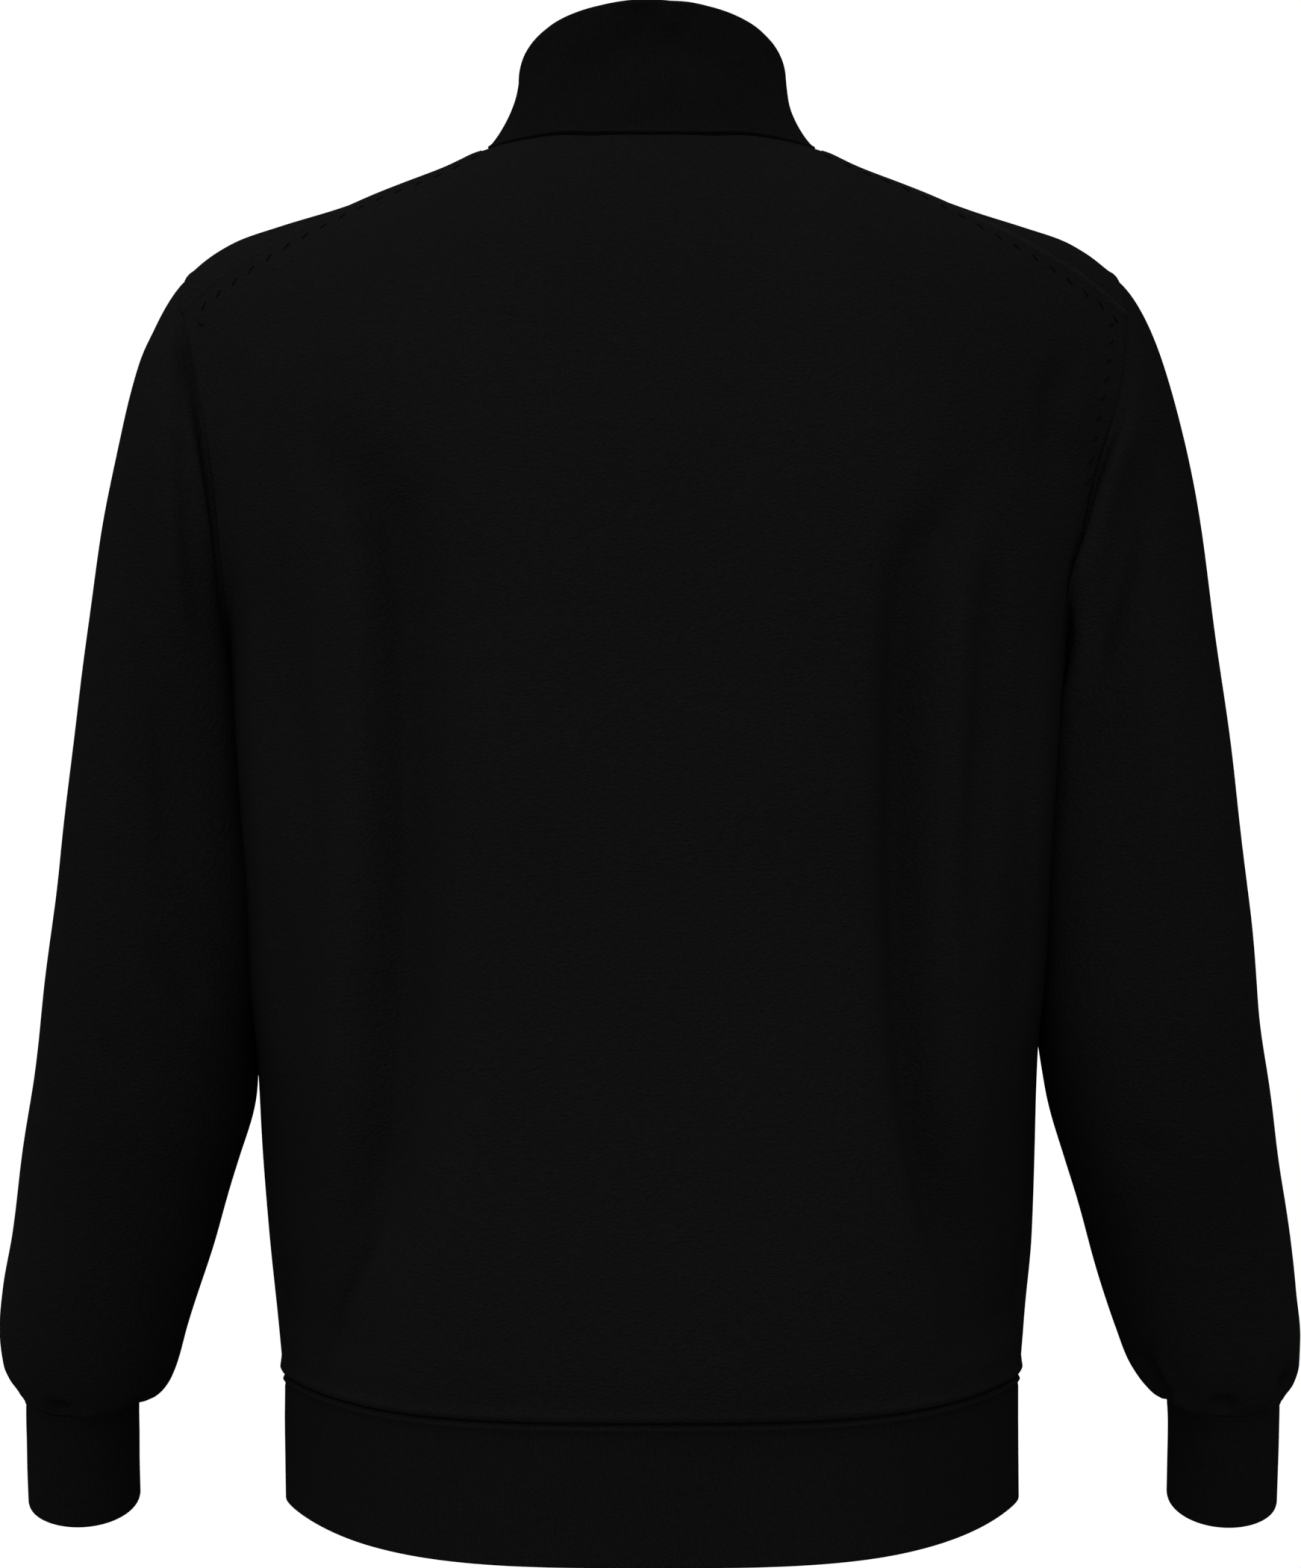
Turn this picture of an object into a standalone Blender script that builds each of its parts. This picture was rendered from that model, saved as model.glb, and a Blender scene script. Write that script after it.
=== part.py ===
"""Long-sleeve golf sweater, filled out as if worn, with a rib stand collar,
rib hem band and rib cuffs.

The wearer looks towards -Y, +Z is up and the wearer's left is +X.  The origin
is the middle of the neck opening at the height of the shoulder beside the
neck, where the garment hangs on its wearer.  All sizes below are millimetres.
Every panel is a cloth wall: an outer surface worked out from the tables, an
inner one a cloth thickness inside it, and the cut edges between them.
"""
import math

import bpy
import bmesh
import numpy as np

MM = 0.001

# ---------------------------------------------------------------- cloth
JERSEY_WALL = 1.8        # fleece-faced jersey of the body and sleeves
RIB_WALL = 2.4           # rib of the hem band and cuffs
COLLAR_WALL = 3.0        # rib of the collar, two layers
SEAM_GAP = 0.3           # between the edges of two pieces sewn together
SLEEVE_CLEAR = 2.2       # sleeve to body, where they lie side by side

# ---------------------------------------------------------------- heights
CHEST_Z = -275.0         # bottom of the armhole
HEM_SEAM_Z = -598.0      # body to hem band
HEM_Z = -659.0           # lower edge of the hem band
CAP_Z = -300.0           # first level ring of the sleeve
CUFF_SEAM_Z = -618.0     # sleeve to cuff, at the middle of the tube

# body sections from the hem seam to the armhole
BODY = dict(
    z=          [-598, -582, -566, -530, -484, -437, -416, -365, -320, -275],
    half_left=  [180.0, 181.4, 183.1, 186.8, 190.3, 192.4, 193.6, 196.2, 199.0, 201.5],
    half_right= [179.8, 181.2, 182.5, 185.8, 187.2, 187.8, 189.0, 192.2, 195.2, 198.2],
    back=       [116.0, 120.5, 122.5, 124.5, 124.5, 123.0, 122.5, 122.0, 124.0, 126.0],
    front=      [108.0, 112.0, 114.0, 116.5, 117.0, 116.0, 115.5, 115.0, 116.5, 118.0],
)

# hem band sections from its seam to its lower edge
HEM = dict(
    z=          [-598, -604, -628, -659],
    half_left=  [180.0, 179.2, 179.0, 178.8],
    half_right= [179.8, 179.3, 179.4, 179.5],
    back=       [116.0, 116.0, 121.8, 130.5],
    front=      [108.0, 107.8, 109.8, 112.0],
)
SQUARE = 2.65            # how square a body section is at the centre line ...
SIDE_ROUND = 0.95        # ... and how much rounder it turns at the sides

# ridge of the shoulder, from the middle of the neck to the armhole
RIDGE = dict(
    x=    [-40, 0, 40, 82, 98, 116, 153, 180, 199, 212, 221, 226, 240],
    z=    [12.0, 19.0, 12.0, -5.2, -12.4, -19.0, -31.8, -38.8, -44.2, -50.8, -57.4, -62.0, -82.0],
    y=    [3.0, 3.0, 3.0, 2.0, 1.0, 0.0, -3.0, -5.0, -6.5, -7.4, -8.0, -8.0, -8.0],
)

# above the armhole's bottom: share of the rise to the ridge, half width at the
# armhole edge, and how far the edge lies from the side towards the centre
# line's depth
YOKE = dict(
    rise=        [0.0, 0.05, 0.12, 0.22, 0.376, 0.587, 0.746, 0.859, 0.934, 1.0],
    width_back=  [200.0, 200.0, 200.2, 201.0, 204.0, 211.0, 218.5, 224.0, 226.6, 226.0],
    width_front= [200.0, 199.0, 197.5, 196.0, 196.5, 203.0, 212.0, 220.5, 225.6, 226.0],
    edge_back=   [0.0, 0.13, 0.25, 0.36, 0.445, 0.495, 0.50, 0.50, 0.50, 0.50],
    edge_front=  [0.0, 0.16, 0.30, 0.42, 0.51, 0.55, 0.55, 0.53, 0.52, 0.52],
    cut=         [1.0, 0.985, 0.96, 0.93, 0.905, 0.89, 0.88, 0.88, 0.88, 0.88],
)
YOKE_SQUARE_BACK = 2.6   # how square the shoulder rolls over, back and front
YOKE_SQUARE_FRONT = 2.4

# shoulder seam: place across the panel, share of the way up the back
SHOULDER_SEAM = dict(
    across= [0.358, 0.45, 0.55, 0.72, 0.82, 0.88, 1.0],
    up=     [0.912, 0.911, 0.906, 0.884, 0.853, 0.828, 0.80],
)
NECK_ACROSS = 0.358      # where neckline and shoulder seam meet
# neckline: share of the way from centre to shoulder seam, share of the way up
NECK = dict(
    across= [-0.30, 0.0, 0.30, 0.50, 0.70, 0.84, 0.92, 0.97, 0.993, 1.0],
    back=   [0.746, 0.738, 0.746, 0.770, 0.808, 0.845, 0.872, 0.893, 0.906, 0.912],
    front=  [0.545, 0.538, 0.545, 0.565, 0.612, 0.680, 0.752, 0.845, 0.955, 1.088],
)

# collar's top edge
COLLAR_TOP = dict(half=65.6, x_mid=-0.7, back=72.0, front=-80.0, z_mid=33.4, slope=0.29, square=2.2)

# sleeve rings from the first level one to the cuff seam; inner and outer are
# distances from the garment's middle plane
SLEEVE = dict(
    z=           [-300, -330, -365, -400, -430, -462, -495, -530, -560, -585, -599, -607, -613, -618],
    inner_left=  [203.0, 200.0, 197.0, 195.0, 194.5, 196.2, 205.0, 216.3, 226.6, 234.8, 240.0, 245.0, 251.5, 260.0],
    inner_right= [199.0, 196.0, 193.5, 192.0, 191.8, 195.0, 204.3, 216.0, 226.2, 234.8, 240.6, 246.6, 253.2, 262.0],
    outer_left=  [279.9, 283.6, 288.0, 293.2, 298.4, 304.6, 311.4, 318.4, 324.6, 327.2, 326.8, 325.0, 322.0, 318.0],
    outer_right= [279.9, 283.6, 288.0, 293.0, 297.6, 303.6, 310.2, 317.0, 322.8, 326.2, 326.4, 325.0, 322.0, 318.6],
    y_mid=       [2.0, 3.0, 3.0, 1.0, -3.0, -10.0, -20.0, -30.0, -39.0, -46.0, -50.0, -52.3, -54.0, -55.5],
    half_depth=  [72.0, 70.0, 67.0, 63.0, 59.5, 55.5, 53.0, 50.5, 48.5, 46.5, 43.6, 40.0, 35.0, 29.5],
    lean=        [0.0, 1.0, 2.0, 5.0, 9.0, 13.0, 15.0, 16.0, 16.0, 15.0, 14.0, 13.0, 12.0, 12.0],
    square=      [2.7, 2.7, 2.6, 2.45, 2.3, 2.15, 2.1, 2.1, 2.1, 2.1, 2.05, 2.0, 2.0, 2.0],
)

# cuff rings from the seam to the lower edge
CUFF = dict(
    z=        [-618, -624, -640, -658, -675.5],
    mid_left= [289.0, 289.6, 289.9, 290.4, 290.7],
    mid_right=[290.4, 290.8, 291.2, 291.6, 292.0],
    half=     [29.0, 27.8, 27.5, 27.6, 27.7],
    y_mid=    [-55.5, -57.0, -61.0, -66.3, -71.7],
    lean=     [12.0, 13.5, 16.0, 18.5, 20.0],
)

# largest folds of back and front: four points down each fold, then depth and
# half width; the body is pushed in along them
FOLDS = dict(
    face=  [1, 1, -1, -1],
    x0=    [158.0, -154.0, 150.0, -148.0],
    z0=    [-148.0, -150.0, -170.0, -160.0],
    x1=    [118.0, -116.0, 112.0, -116.0],
    z1=    [-212.0, -208.0, -235.0, -228.0],
    x2=    [115.0, -117.0, 110.0, -113.0],
    z2=    [-410.0, -390.0, -400.0, -420.0],
    x3=    [152.0, -154.0, 140.0, -146.0],
    z3=    [-572.0, -575.0, -565.0, -570.0],
    depth= [8.5, 10.5, 7.0, 8.5],
    width= [18.0, 16.0, 19.0, 17.0],
)

# creases of the sleeves: ring angle (0 inner, 90 back, 180 outer, 270 front),
# height, their reach, how the crease slants (mm per degree), and depth
SLEEVE_FOLDS = dict(
    side=      [1, 1, -1, -1],
    angle=     [40.0, 300.0, 60.0, 300.0],
    reach=     [45.0, 40.0, 40.0, 42.0],
    z=         [-352.0, -372.0, -210.0, -365.0],
    height=    [11.0, 12.0, 14.0, 12.0],
    slant=     [-0.45, 0.3, -0.9, 0.35],
    depth=     [4.0, 4.0, 3.0, 4.0],
)

# ---------------------------------------------------------------- grids
BODY_ROWS = 7            # hem seam to armhole
YOKE_ROWS = 9            # armhole's bottom to shoulder seam and neckline
SIDE_COLS = 8            # neck point to armhole
NECK_COLS = [0.0, 0.22, 0.44, 0.64, 0.8, 0.91, 0.97, 0.993, 1.0]
CAP_ROWS = 5
TUBE_ROWS = [-300, -330, -365, -400, -430, -462, -495, -530, -560, -585, -600, -611, -618]


def smooth(xs, ys, at):
    """Value of a table's column at any point, without overshoot."""
    xs = np.asarray(xs, float)
    ys = np.asarray(ys, float)
    if xs[0] > xs[-1]:
        xs, ys = xs[::-1], ys[::-1]
    at = np.clip(np.asarray(at, float), xs[0], xs[-1])
    h = np.diff(xs)
    d = np.diff(ys) / h
    m = np.zeros_like(ys)
    w1 = 2 * h[1:] + h[:-1]
    w2 = h[1:] + 2 * h[:-1]
    same = d[:-1] * d[1:] > 0
    safe = np.where(same, d[:-1] * d[1:], 1.0)
    m[1:-1] = np.where(same, (w1 + w2) * safe / (w1 * d[1:] + w2 * d[:-1] + 1e-12 * ~same), 0.0)
    m[0], m[-1] = d[0], d[-1]
    i = np.clip(np.searchsorted(xs, at, side="right") - 1, 0, len(xs) - 2)
    t = (at - xs[i]) / h[i]
    return (ys[i] * (1 + 2 * t) * (1 - t) ** 2 + m[i] * h[i] * t * (1 - t) ** 2
            + ys[i + 1] * t * t * (3 - 2 * t) + m[i + 1] * h[i] * t * t * (t - 1))


def power(value, exponent):
    return np.sign(value) * np.abs(value) ** exponent


# ---------------------------------------------------------------- body
def arc(s):
    """Depth of a body section, 1 at the centre line and 0 at the side."""
    n = SQUARE - SIDE_ROUND * np.asarray(s, float) ** 2
    return np.clip(1 - np.abs(s) ** n, 0, 1) ** (1 / n)


def ring(table, face, s, z):
    """Point of a body section: face 1 back, -1 front; s from -1 to 1."""
    s, z = np.broadcast_arrays(np.asarray(s, float), np.asarray(z, float))
    half = np.where(s > 0, smooth(table["z"], table["half_left"], z),
                    smooth(table["z"], table["half_right"], z))
    deep = smooth(table["z"], table["back" if face > 0 else "front"], z)
    y = face * deep * arc(s)
    return np.stack([half * s, y, z], -1)


def roll(up):
    """Angle of the shoulder's roll for a share of the way up."""
    return math.pi / 2 * np.clip(up, 0, 1) ** 1.25


def yoke(face, s, up):
    """Point above the armhole's bottom.  up runs from 0 at that height to 1 at
    the ridge, and past 1 down the other side."""
    s, up = np.broadcast_arrays(np.asarray(s, float), np.asarray(up, float))
    here = np.where(up > 1, -face, face)
    phi = roll(np.where(up > 1, 2 - up, up))
    m = np.where(here > 0, YOKE_SQUARE_BACK, YOKE_SQUARE_FRONT)
    rise = np.sin(phi) ** (2 / m)
    deep = np.clip(np.cos(phi), 0, 1) ** (2 / m)
    width = np.where(here > 0, smooth(YOKE["rise"], YOKE["width_back"], rise),
                     smooth(YOKE["rise"], YOKE["width_front"], rise))
    edge = np.where(here > 0, smooth(YOKE["rise"], YOKE["edge_back"], rise),
                    smooth(YOKE["rise"], YOKE["edge_front"], rise))
    chest = np.where(here > 0, BODY["back"][-1], BODY["front"][-1])
    half = np.where(s > 0, BODY["half_left"][-1], BODY["half_right"][-1]) / 200.0
    x = s * width * (1 + (half - 1) * (1 - rise))
    top = smooth(RIDGE["x"], RIDGE["z"], np.abs(x))
    z = CHEST_Z + (top - CHEST_Z) * rise
    cut = smooth(YOKE["rise"], YOKE["cut"], rise)
    bow = (arc(cut * s) - arc(cut)) / (1 - arc(cut))
    y = smooth(RIDGE["x"], RIDGE["y"], np.abs(x)) * rise ** 2 + here * chest * deep * (edge + (1 - edge) * bow)
    return np.stack([x, y, z], -1)


def fold_push(face, x, z):
    """How far the folds push the body in, in mm, at a place on one face."""
    push = np.zeros(np.broadcast(x, z).shape)
    for i, side in enumerate(FOLDS["face"]):
        if side != face:
            continue
        zs = [FOLDS[k][i] for k in ("z3", "z2", "z1", "z0")]
        xs = [FOLDS[k][i] for k in ("x3", "x2", "x1", "x0")]
        line = smooth(zs, xs, z)
        slope = (smooth(zs, xs, z + 2) - smooth(zs, xs, z - 2)) / 4
        off = (x - line) / np.sqrt(1 + slope ** 2)
        t = np.clip((z - zs[0]) / (zs[-1] - zs[0]), 0, 1)
        fade = np.clip(np.minimum(t / 0.2, (1 - t) / 0.16), 0, 1)
        fade = fade * fade * (3 - 2 * fade)
        push += FOLDS["depth"][i] * fade * np.exp(-(off / FOLDS["width"][i]) ** 2)
    return push


def mirrored(half):
    half = np.array(half, float)
    return np.concatenate([-half[:0:-1], half])


def low_places():
    """Columns of a body panel at the hem, from the wearer's right to left."""
    count = len(NECK_COLS) - 1 + SIDE_COLS
    half = np.sin(np.arange(count + 1) / count * math.pi / 2) ** (2 / 2.25)
    half[-1] = 1.0
    return mirrored(half)


def top_places():
    """The same columns at the neckline and shoulder seam."""
    neck = NECK_ACROSS * np.array(NECK_COLS)
    return mirrored(list(neck) + list(np.linspace(NECK_ACROSS, 1, SIDE_COLS + 1)[1:]))


def top_edge(face, s):
    """Share of the way up at which a panel ends: neckline or shoulder seam."""
    a = np.abs(s)
    seam = smooth(SHOULDER_SEAM["across"], SHOULDER_SEAM["up"], a)
    seam = seam if face > 0 else 2 - seam
    neck = smooth(NECK["across"], NECK["back" if face > 0 else "front"], a / NECK_ACROSS)
    return np.where(a < NECK_ACROSS - 1e-9, neck, seam)


def panel(face):
    """Outer surface of the back or front, rows from the hem seam up."""
    low, top = low_places(), top_places()
    rows = [ring(BODY, face, low, z) for z in np.linspace(HEM_SEAM_Z, CHEST_Z, BODY_ROWS + 1)[:-1]]
    for u in np.arange(YOKE_ROWS + 1) / YOKE_ROWS:
        s = low + (top - low) * u * u * (3 - 2 * u)
        rows.append(yoke(face, s, u * top_edge(face, top)))
    return np.array(rows)


# ---------------------------------------------------------------- sleeve
def armhole(side, angle):
    """Armhole edge at a ring angle of the sleeve."""
    phi = np.where(angle <= 180, angle, 360 - angle) / 180.0
    up = phi ** 0.8
    back = yoke(1, side, up)
    front = yoke(-1, side, up)
    return np.where((angle <= 180)[..., None], back, front)


def tube(side, z, angle):
    """Point of the sleeve below its first level ring."""
    z, angle = np.broadcast_arrays(np.asarray(z, float), np.asarray(angle, float))
    get = lambda name: smooth(SLEEVE["z"], SLEEVE[name], z)
    inner = get("inner_left" if side > 0 else "inner_right")
    outer = get("outer_left" if side > 0 else "outer_right")
    mid, half = (inner + outer) / 2, (outer - inner) / 2
    a = np.radians(angle)
    e = 2 / get("square")
    out = -half * power(np.cos(a), e)
    back = get("half_depth") * power(np.sin(a), e)
    lean = np.radians(get("lean"))
    return np.stack([side * (mid + out), get("y_mid") + back * np.cos(lean),
                     z - back * np.sin(lean)], -1)


def cap(side, v, angle):
    """Sleeve between the armhole and its first level ring; v from 0 to 1."""
    v, angle = np.broadcast_arrays(np.asarray(v, float), np.asarray(angle, float))
    a = np.radians(angle)
    top = np.clip(-np.cos(a), 0, 1) ** 2
    under = np.clip(np.cos(a), 0, 1) ** 2
    flank = np.sin(a) ** 2
    face = np.sign(np.sin(a))
    leave = (top[..., None] * np.array([112.0, 0, -112.0])
             + under[..., None] * np.array([22.0, 0, -16.0])
             + flank[..., None] * np.stack([44.0 + 0 * a, 20.0 * face, -76.0 + 0 * a], -1))
    corner = 2 * np.clip(np.cos(a), 0, 1) * np.abs(np.sin(a))
    leave = leave + corner[..., None] * np.stack([-16.0 + 0 * a, 30.0 * face, 0 * a], -1)
    leave = leave * np.array([side, 1, 1])
    reach = 240.0 * top + 26.0 * under + 112.0 * flank
    start = armhole(side, angle)
    end = tube(side, CAP_Z, angle)
    step = (tube(side, CAP_Z - 6, angle) - end) / 6
    arrive = step * reach[..., None]
    t = v[..., None]
    return (start * (1 + 2 * t) * (1 - t) ** 2 + leave * t * (1 - t) ** 2
            + end * t * t * (3 - 2 * t) + arrive * t * t * (t - 1))


def keep_clear(side, p, clear):
    """Move sleeve points out to lie beside the body, not in it."""
    x, y, z = side * p[..., 0], p[..., 1], p[..., 2]
    s = 1.0 if side > 0 else -1.0
    zz = np.clip(z, HEM_SEAM_Z, CHEST_Z)
    half = smooth(BODY["z"], BODY["half_left" if s > 0 else "half_right"], zz)
    deep = np.where(y > 0, smooth(BODY["z"], BODY["back"], zz), smooth(BODY["z"], BODY["front"], zz))
    place = np.linspace(0, 1, 201)
    wall = half * np.interp(np.abs(y / deep), arc(place)[::-1], place[::-1]) + clear
    soft = 1.5
    over = (x - wall) / soft
    pushed = wall + soft * np.where(over > 30, over, np.log1p(np.exp(np.minimum(over, 30))))
    use = np.clip((CHEST_Z - 1.0 - z) / 8.0, 0, 1)
    x = x + (np.maximum(pushed, x) - x) * use
    return np.stack([side * x, y, z], -1)


def sleeve_creases(side, angle, z):
    push = np.zeros(np.broadcast(angle, z).shape)
    for i, which in enumerate(SLEEVE_FOLDS["side"]):
        if which != side:
            continue
        off = (angle - SLEEVE_FOLDS["angle"][i] + 180) % 360 - 180
        along = np.exp(-(off / SLEEVE_FOLDS["reach"][i]) ** 2)
        line = SLEEVE_FOLDS["z"][i] + SLEEVE_FOLDS["slant"][i] * off
        push += SLEEVE_FOLDS["depth"][i] * along * np.exp(-((z - line) / SLEEVE_FOLDS["height"][i]) ** 2)
    return push


def seam_angles():
    """Ring angles of the sleeve at the rows of the body panels' armhole."""
    up = np.arange(YOKE_ROWS + 1) / YOKE_ROWS
    back = 2 * np.degrees(roll(up * float(top_edge(1, np.array(1.0)))))
    top = up * float(top_edge(-1, np.array(1.0)))
    front = np.where(top <= 1, 360 - 2 * np.degrees(roll(top)), 2 * np.degrees(roll(2 - top)))
    return np.concatenate([back, front[-2:0:-1]])


def sleeve(side, angles):
    v = np.arange(CAP_ROWS) / CAP_ROWS
    rows = [cap(side, t, angles) for t in v]
    rows += [tube(side, z, angles) for z in TUBE_ROWS]
    p = np.array(rows)
    out = keep_clear(side, p, SLEEVE_CLEAR)
    out[0] = p[0]
    return out


def cuff(side, angles):
    rows = []
    for i, z in enumerate(CUFF["z"]):
        a = np.radians(angles)
        lean = math.radians(CUFF["lean"][i])
        mid = CUFF["mid_left" if side > 0 else "mid_right"][i]
        out, back = -CUFF["half"][i] * np.cos(a), CUFF["half"][i] * np.sin(a)
        rows.append(np.stack([side * (mid + out), CUFF["y_mid"][i] + back * math.cos(lean),
                              z - back * math.sin(lean)], -1))
    return np.array(rows)


# ---------------------------------------------------------------- collar
def neckline(cols):
    """Closed neckline: across the back from the wearer's right to left, then
    across the front and back again."""
    inner = cols[np.abs(cols) <= NECK_ACROSS + 1e-9]
    back = yoke(1, inner, top_edge(1, np.clip(inner, -NECK_ACROSS + 1e-6, NECK_ACROSS - 1e-6)))
    front = yoke(-1, inner, top_edge(-1, np.clip(inner, -NECK_ACROSS + 1e-6, NECK_ACROSS - 1e-6)))
    return np.concatenate([back, front[-2:0:-1]])


def collar(cols):
    base = neckline(cols)
    top = COLLAR_TOP
    mid, deep = (top["back"] + top["front"]) / 2, (top["back"] - top["front"]) / 2
    low_mid = (base[:, 1].max() + base[:, 1].min()) / 2
    low_deep = (base[:, 1].max() - base[:, 1].min()) / 2
    a = np.arctan2(base[:, 0] / np.abs(base[:, 0]).max(), (base[:, 1] - low_mid) / low_deep)
    e = 2 / top["square"]
    x = top["x_mid"] + top["half"] * power(np.sin(a), e)
    y = mid + deep * power(np.cos(a), e)
    edge = np.stack([x, y, top["z_mid"] + top["slope"] * y], -1)
    inward = edge - base
    inward[:, 2] = 0
    inward /= np.linalg.norm(inward, axis=1)[:, None] + 1e-9
    high = (edge - base)[:, 2][:, None]
    leave = inward * 34.0 + np.array([0, 0, 1.0]) * high * 0.30
    arrive = np.array([0, 0, 1.0]) * high * 1.1
    rows = []
    for t in (0.0, 0.14, 0.32, 0.6, 1.0):
        rows.append(base * (1 + 2 * t) * (1 - t) ** 2 + leave * t * (1 - t) ** 2
                    + edge * t * t * (3 - 2 * t) + arrive * t * t * (t - 1))
    return np.array(rows)


# ---------------------------------------------------------------- walls
def normals(p, closed):
    """Outward unit normals of a grid of points."""
    if closed:
        across = np.roll(p, -1, 1) - np.roll(p, 1, 1)
    else:
        across = np.gradient(p, axis=1)
    along = np.gradient(p, axis=0)
    n = np.cross(across, along)
    return n / (np.linalg.norm(n, axis=-1, keepdims=True) + 1e-12)


def unit(v):
    return v / (np.linalg.norm(v, axis=-1, keepdims=True) + 1e-12)


def pull_back(p, closed, half=SEAM_GAP / 2):
    """Trim half a seam gap from each edge of a grid, towards its inside."""
    q = p.copy()
    q[0] += half * unit(p[1] - p[0])
    q[-1] += half * unit(p[-2] - p[-1])
    if not closed:
        q[:, 0] += half * unit(p[:, 1] - p[:, 0])
        q[:, -1] += half * unit(p[:, -2] - p[:, -1])
    return q


def wall(name, outer, inward, closed, colour, rough):
    """A closed cloth wall from its outer grid and the way to its inner one."""
    rows, cols = outer.shape[:2]
    inner = outer + inward
    points = np.concatenate([outer.reshape(-1, 3), inner.reshape(-1, 3)]) * MM
    count = rows * cols
    at = lambda r, c: r * cols + c % cols
    flat = outer.reshape(-1, 3)
    faces = []
    for r in range(rows - 1):
        for c in range(cols if closed else cols - 1):
            a, b, d, e = at(r, c), at(r, c + 1), at(r + 1, c + 1), at(r + 1, c)
            if np.linalg.norm(flat[a] - flat[d]) <= np.linalg.norm(flat[b] - flat[e]):
                split = [(a, b, d), (a, d, e)]
            else:
                split = [(a, b, e), (b, d, e)]
            faces += split
            faces += [(i + count, k + count, j + count) for i, j, k in split]
    rim = [[at(0, c) for c in range(cols)], [at(rows - 1, c) for c in range(cols)][::-1]]
    if closed:
        loops = [loop + loop[:1] for loop in rim]
    else:
        loops = [[at(0, c) for c in range(cols)] + [at(r, cols - 1) for r in range(1, rows)]
                 + [at(rows - 1, c) for c in range(cols - 2, -1, -1)] + [at(r, 0) for r in range(rows - 2, -1, -1)]]
    # two edges sewn together split their strips along the same diagonal
    order = outer.reshape(-1, 3) @ np.array([1.0, 0.37, 0.11])
    for loop in loops:
        for a, b in zip(loop[:-1], loop[1:]):
            if order[a] < order[b]:
                faces += [(b, a, a + count), (b, a + count, b + count)]
            else:
                faces += [(b, a, b + count), (a, a + count, b + count)]
    mesh = bpy.data.meshes.new(name)
    mesh.from_pydata([tuple(v) for v in points], [], faces)
    mesh.update()
    bm = bmesh.new()
    bm.from_mesh(mesh)
    bmesh.ops.recalc_face_normals(bm, faces=bm.faces)
    bm.to_mesh(mesh)
    bm.free()
    mesh.shade_smooth()
    mesh.set_sharp_from_angle(angle=math.radians(40))
    obj = bpy.data.objects.new(name, mesh)
    bpy.context.scene.collection.objects.link(obj)
    mat = bpy.data.materials.new(name + "_cloth")
    mat.use_nodes = True
    shader = mat.node_tree.nodes["Principled BSDF"]
    shader.inputs["Base Color"].default_value = colour
    shader.inputs["Roughness"].default_value = rough
    shader.inputs["Metallic"].default_value = 0.0
    mesh.materials.append(mat)
    return obj


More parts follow.
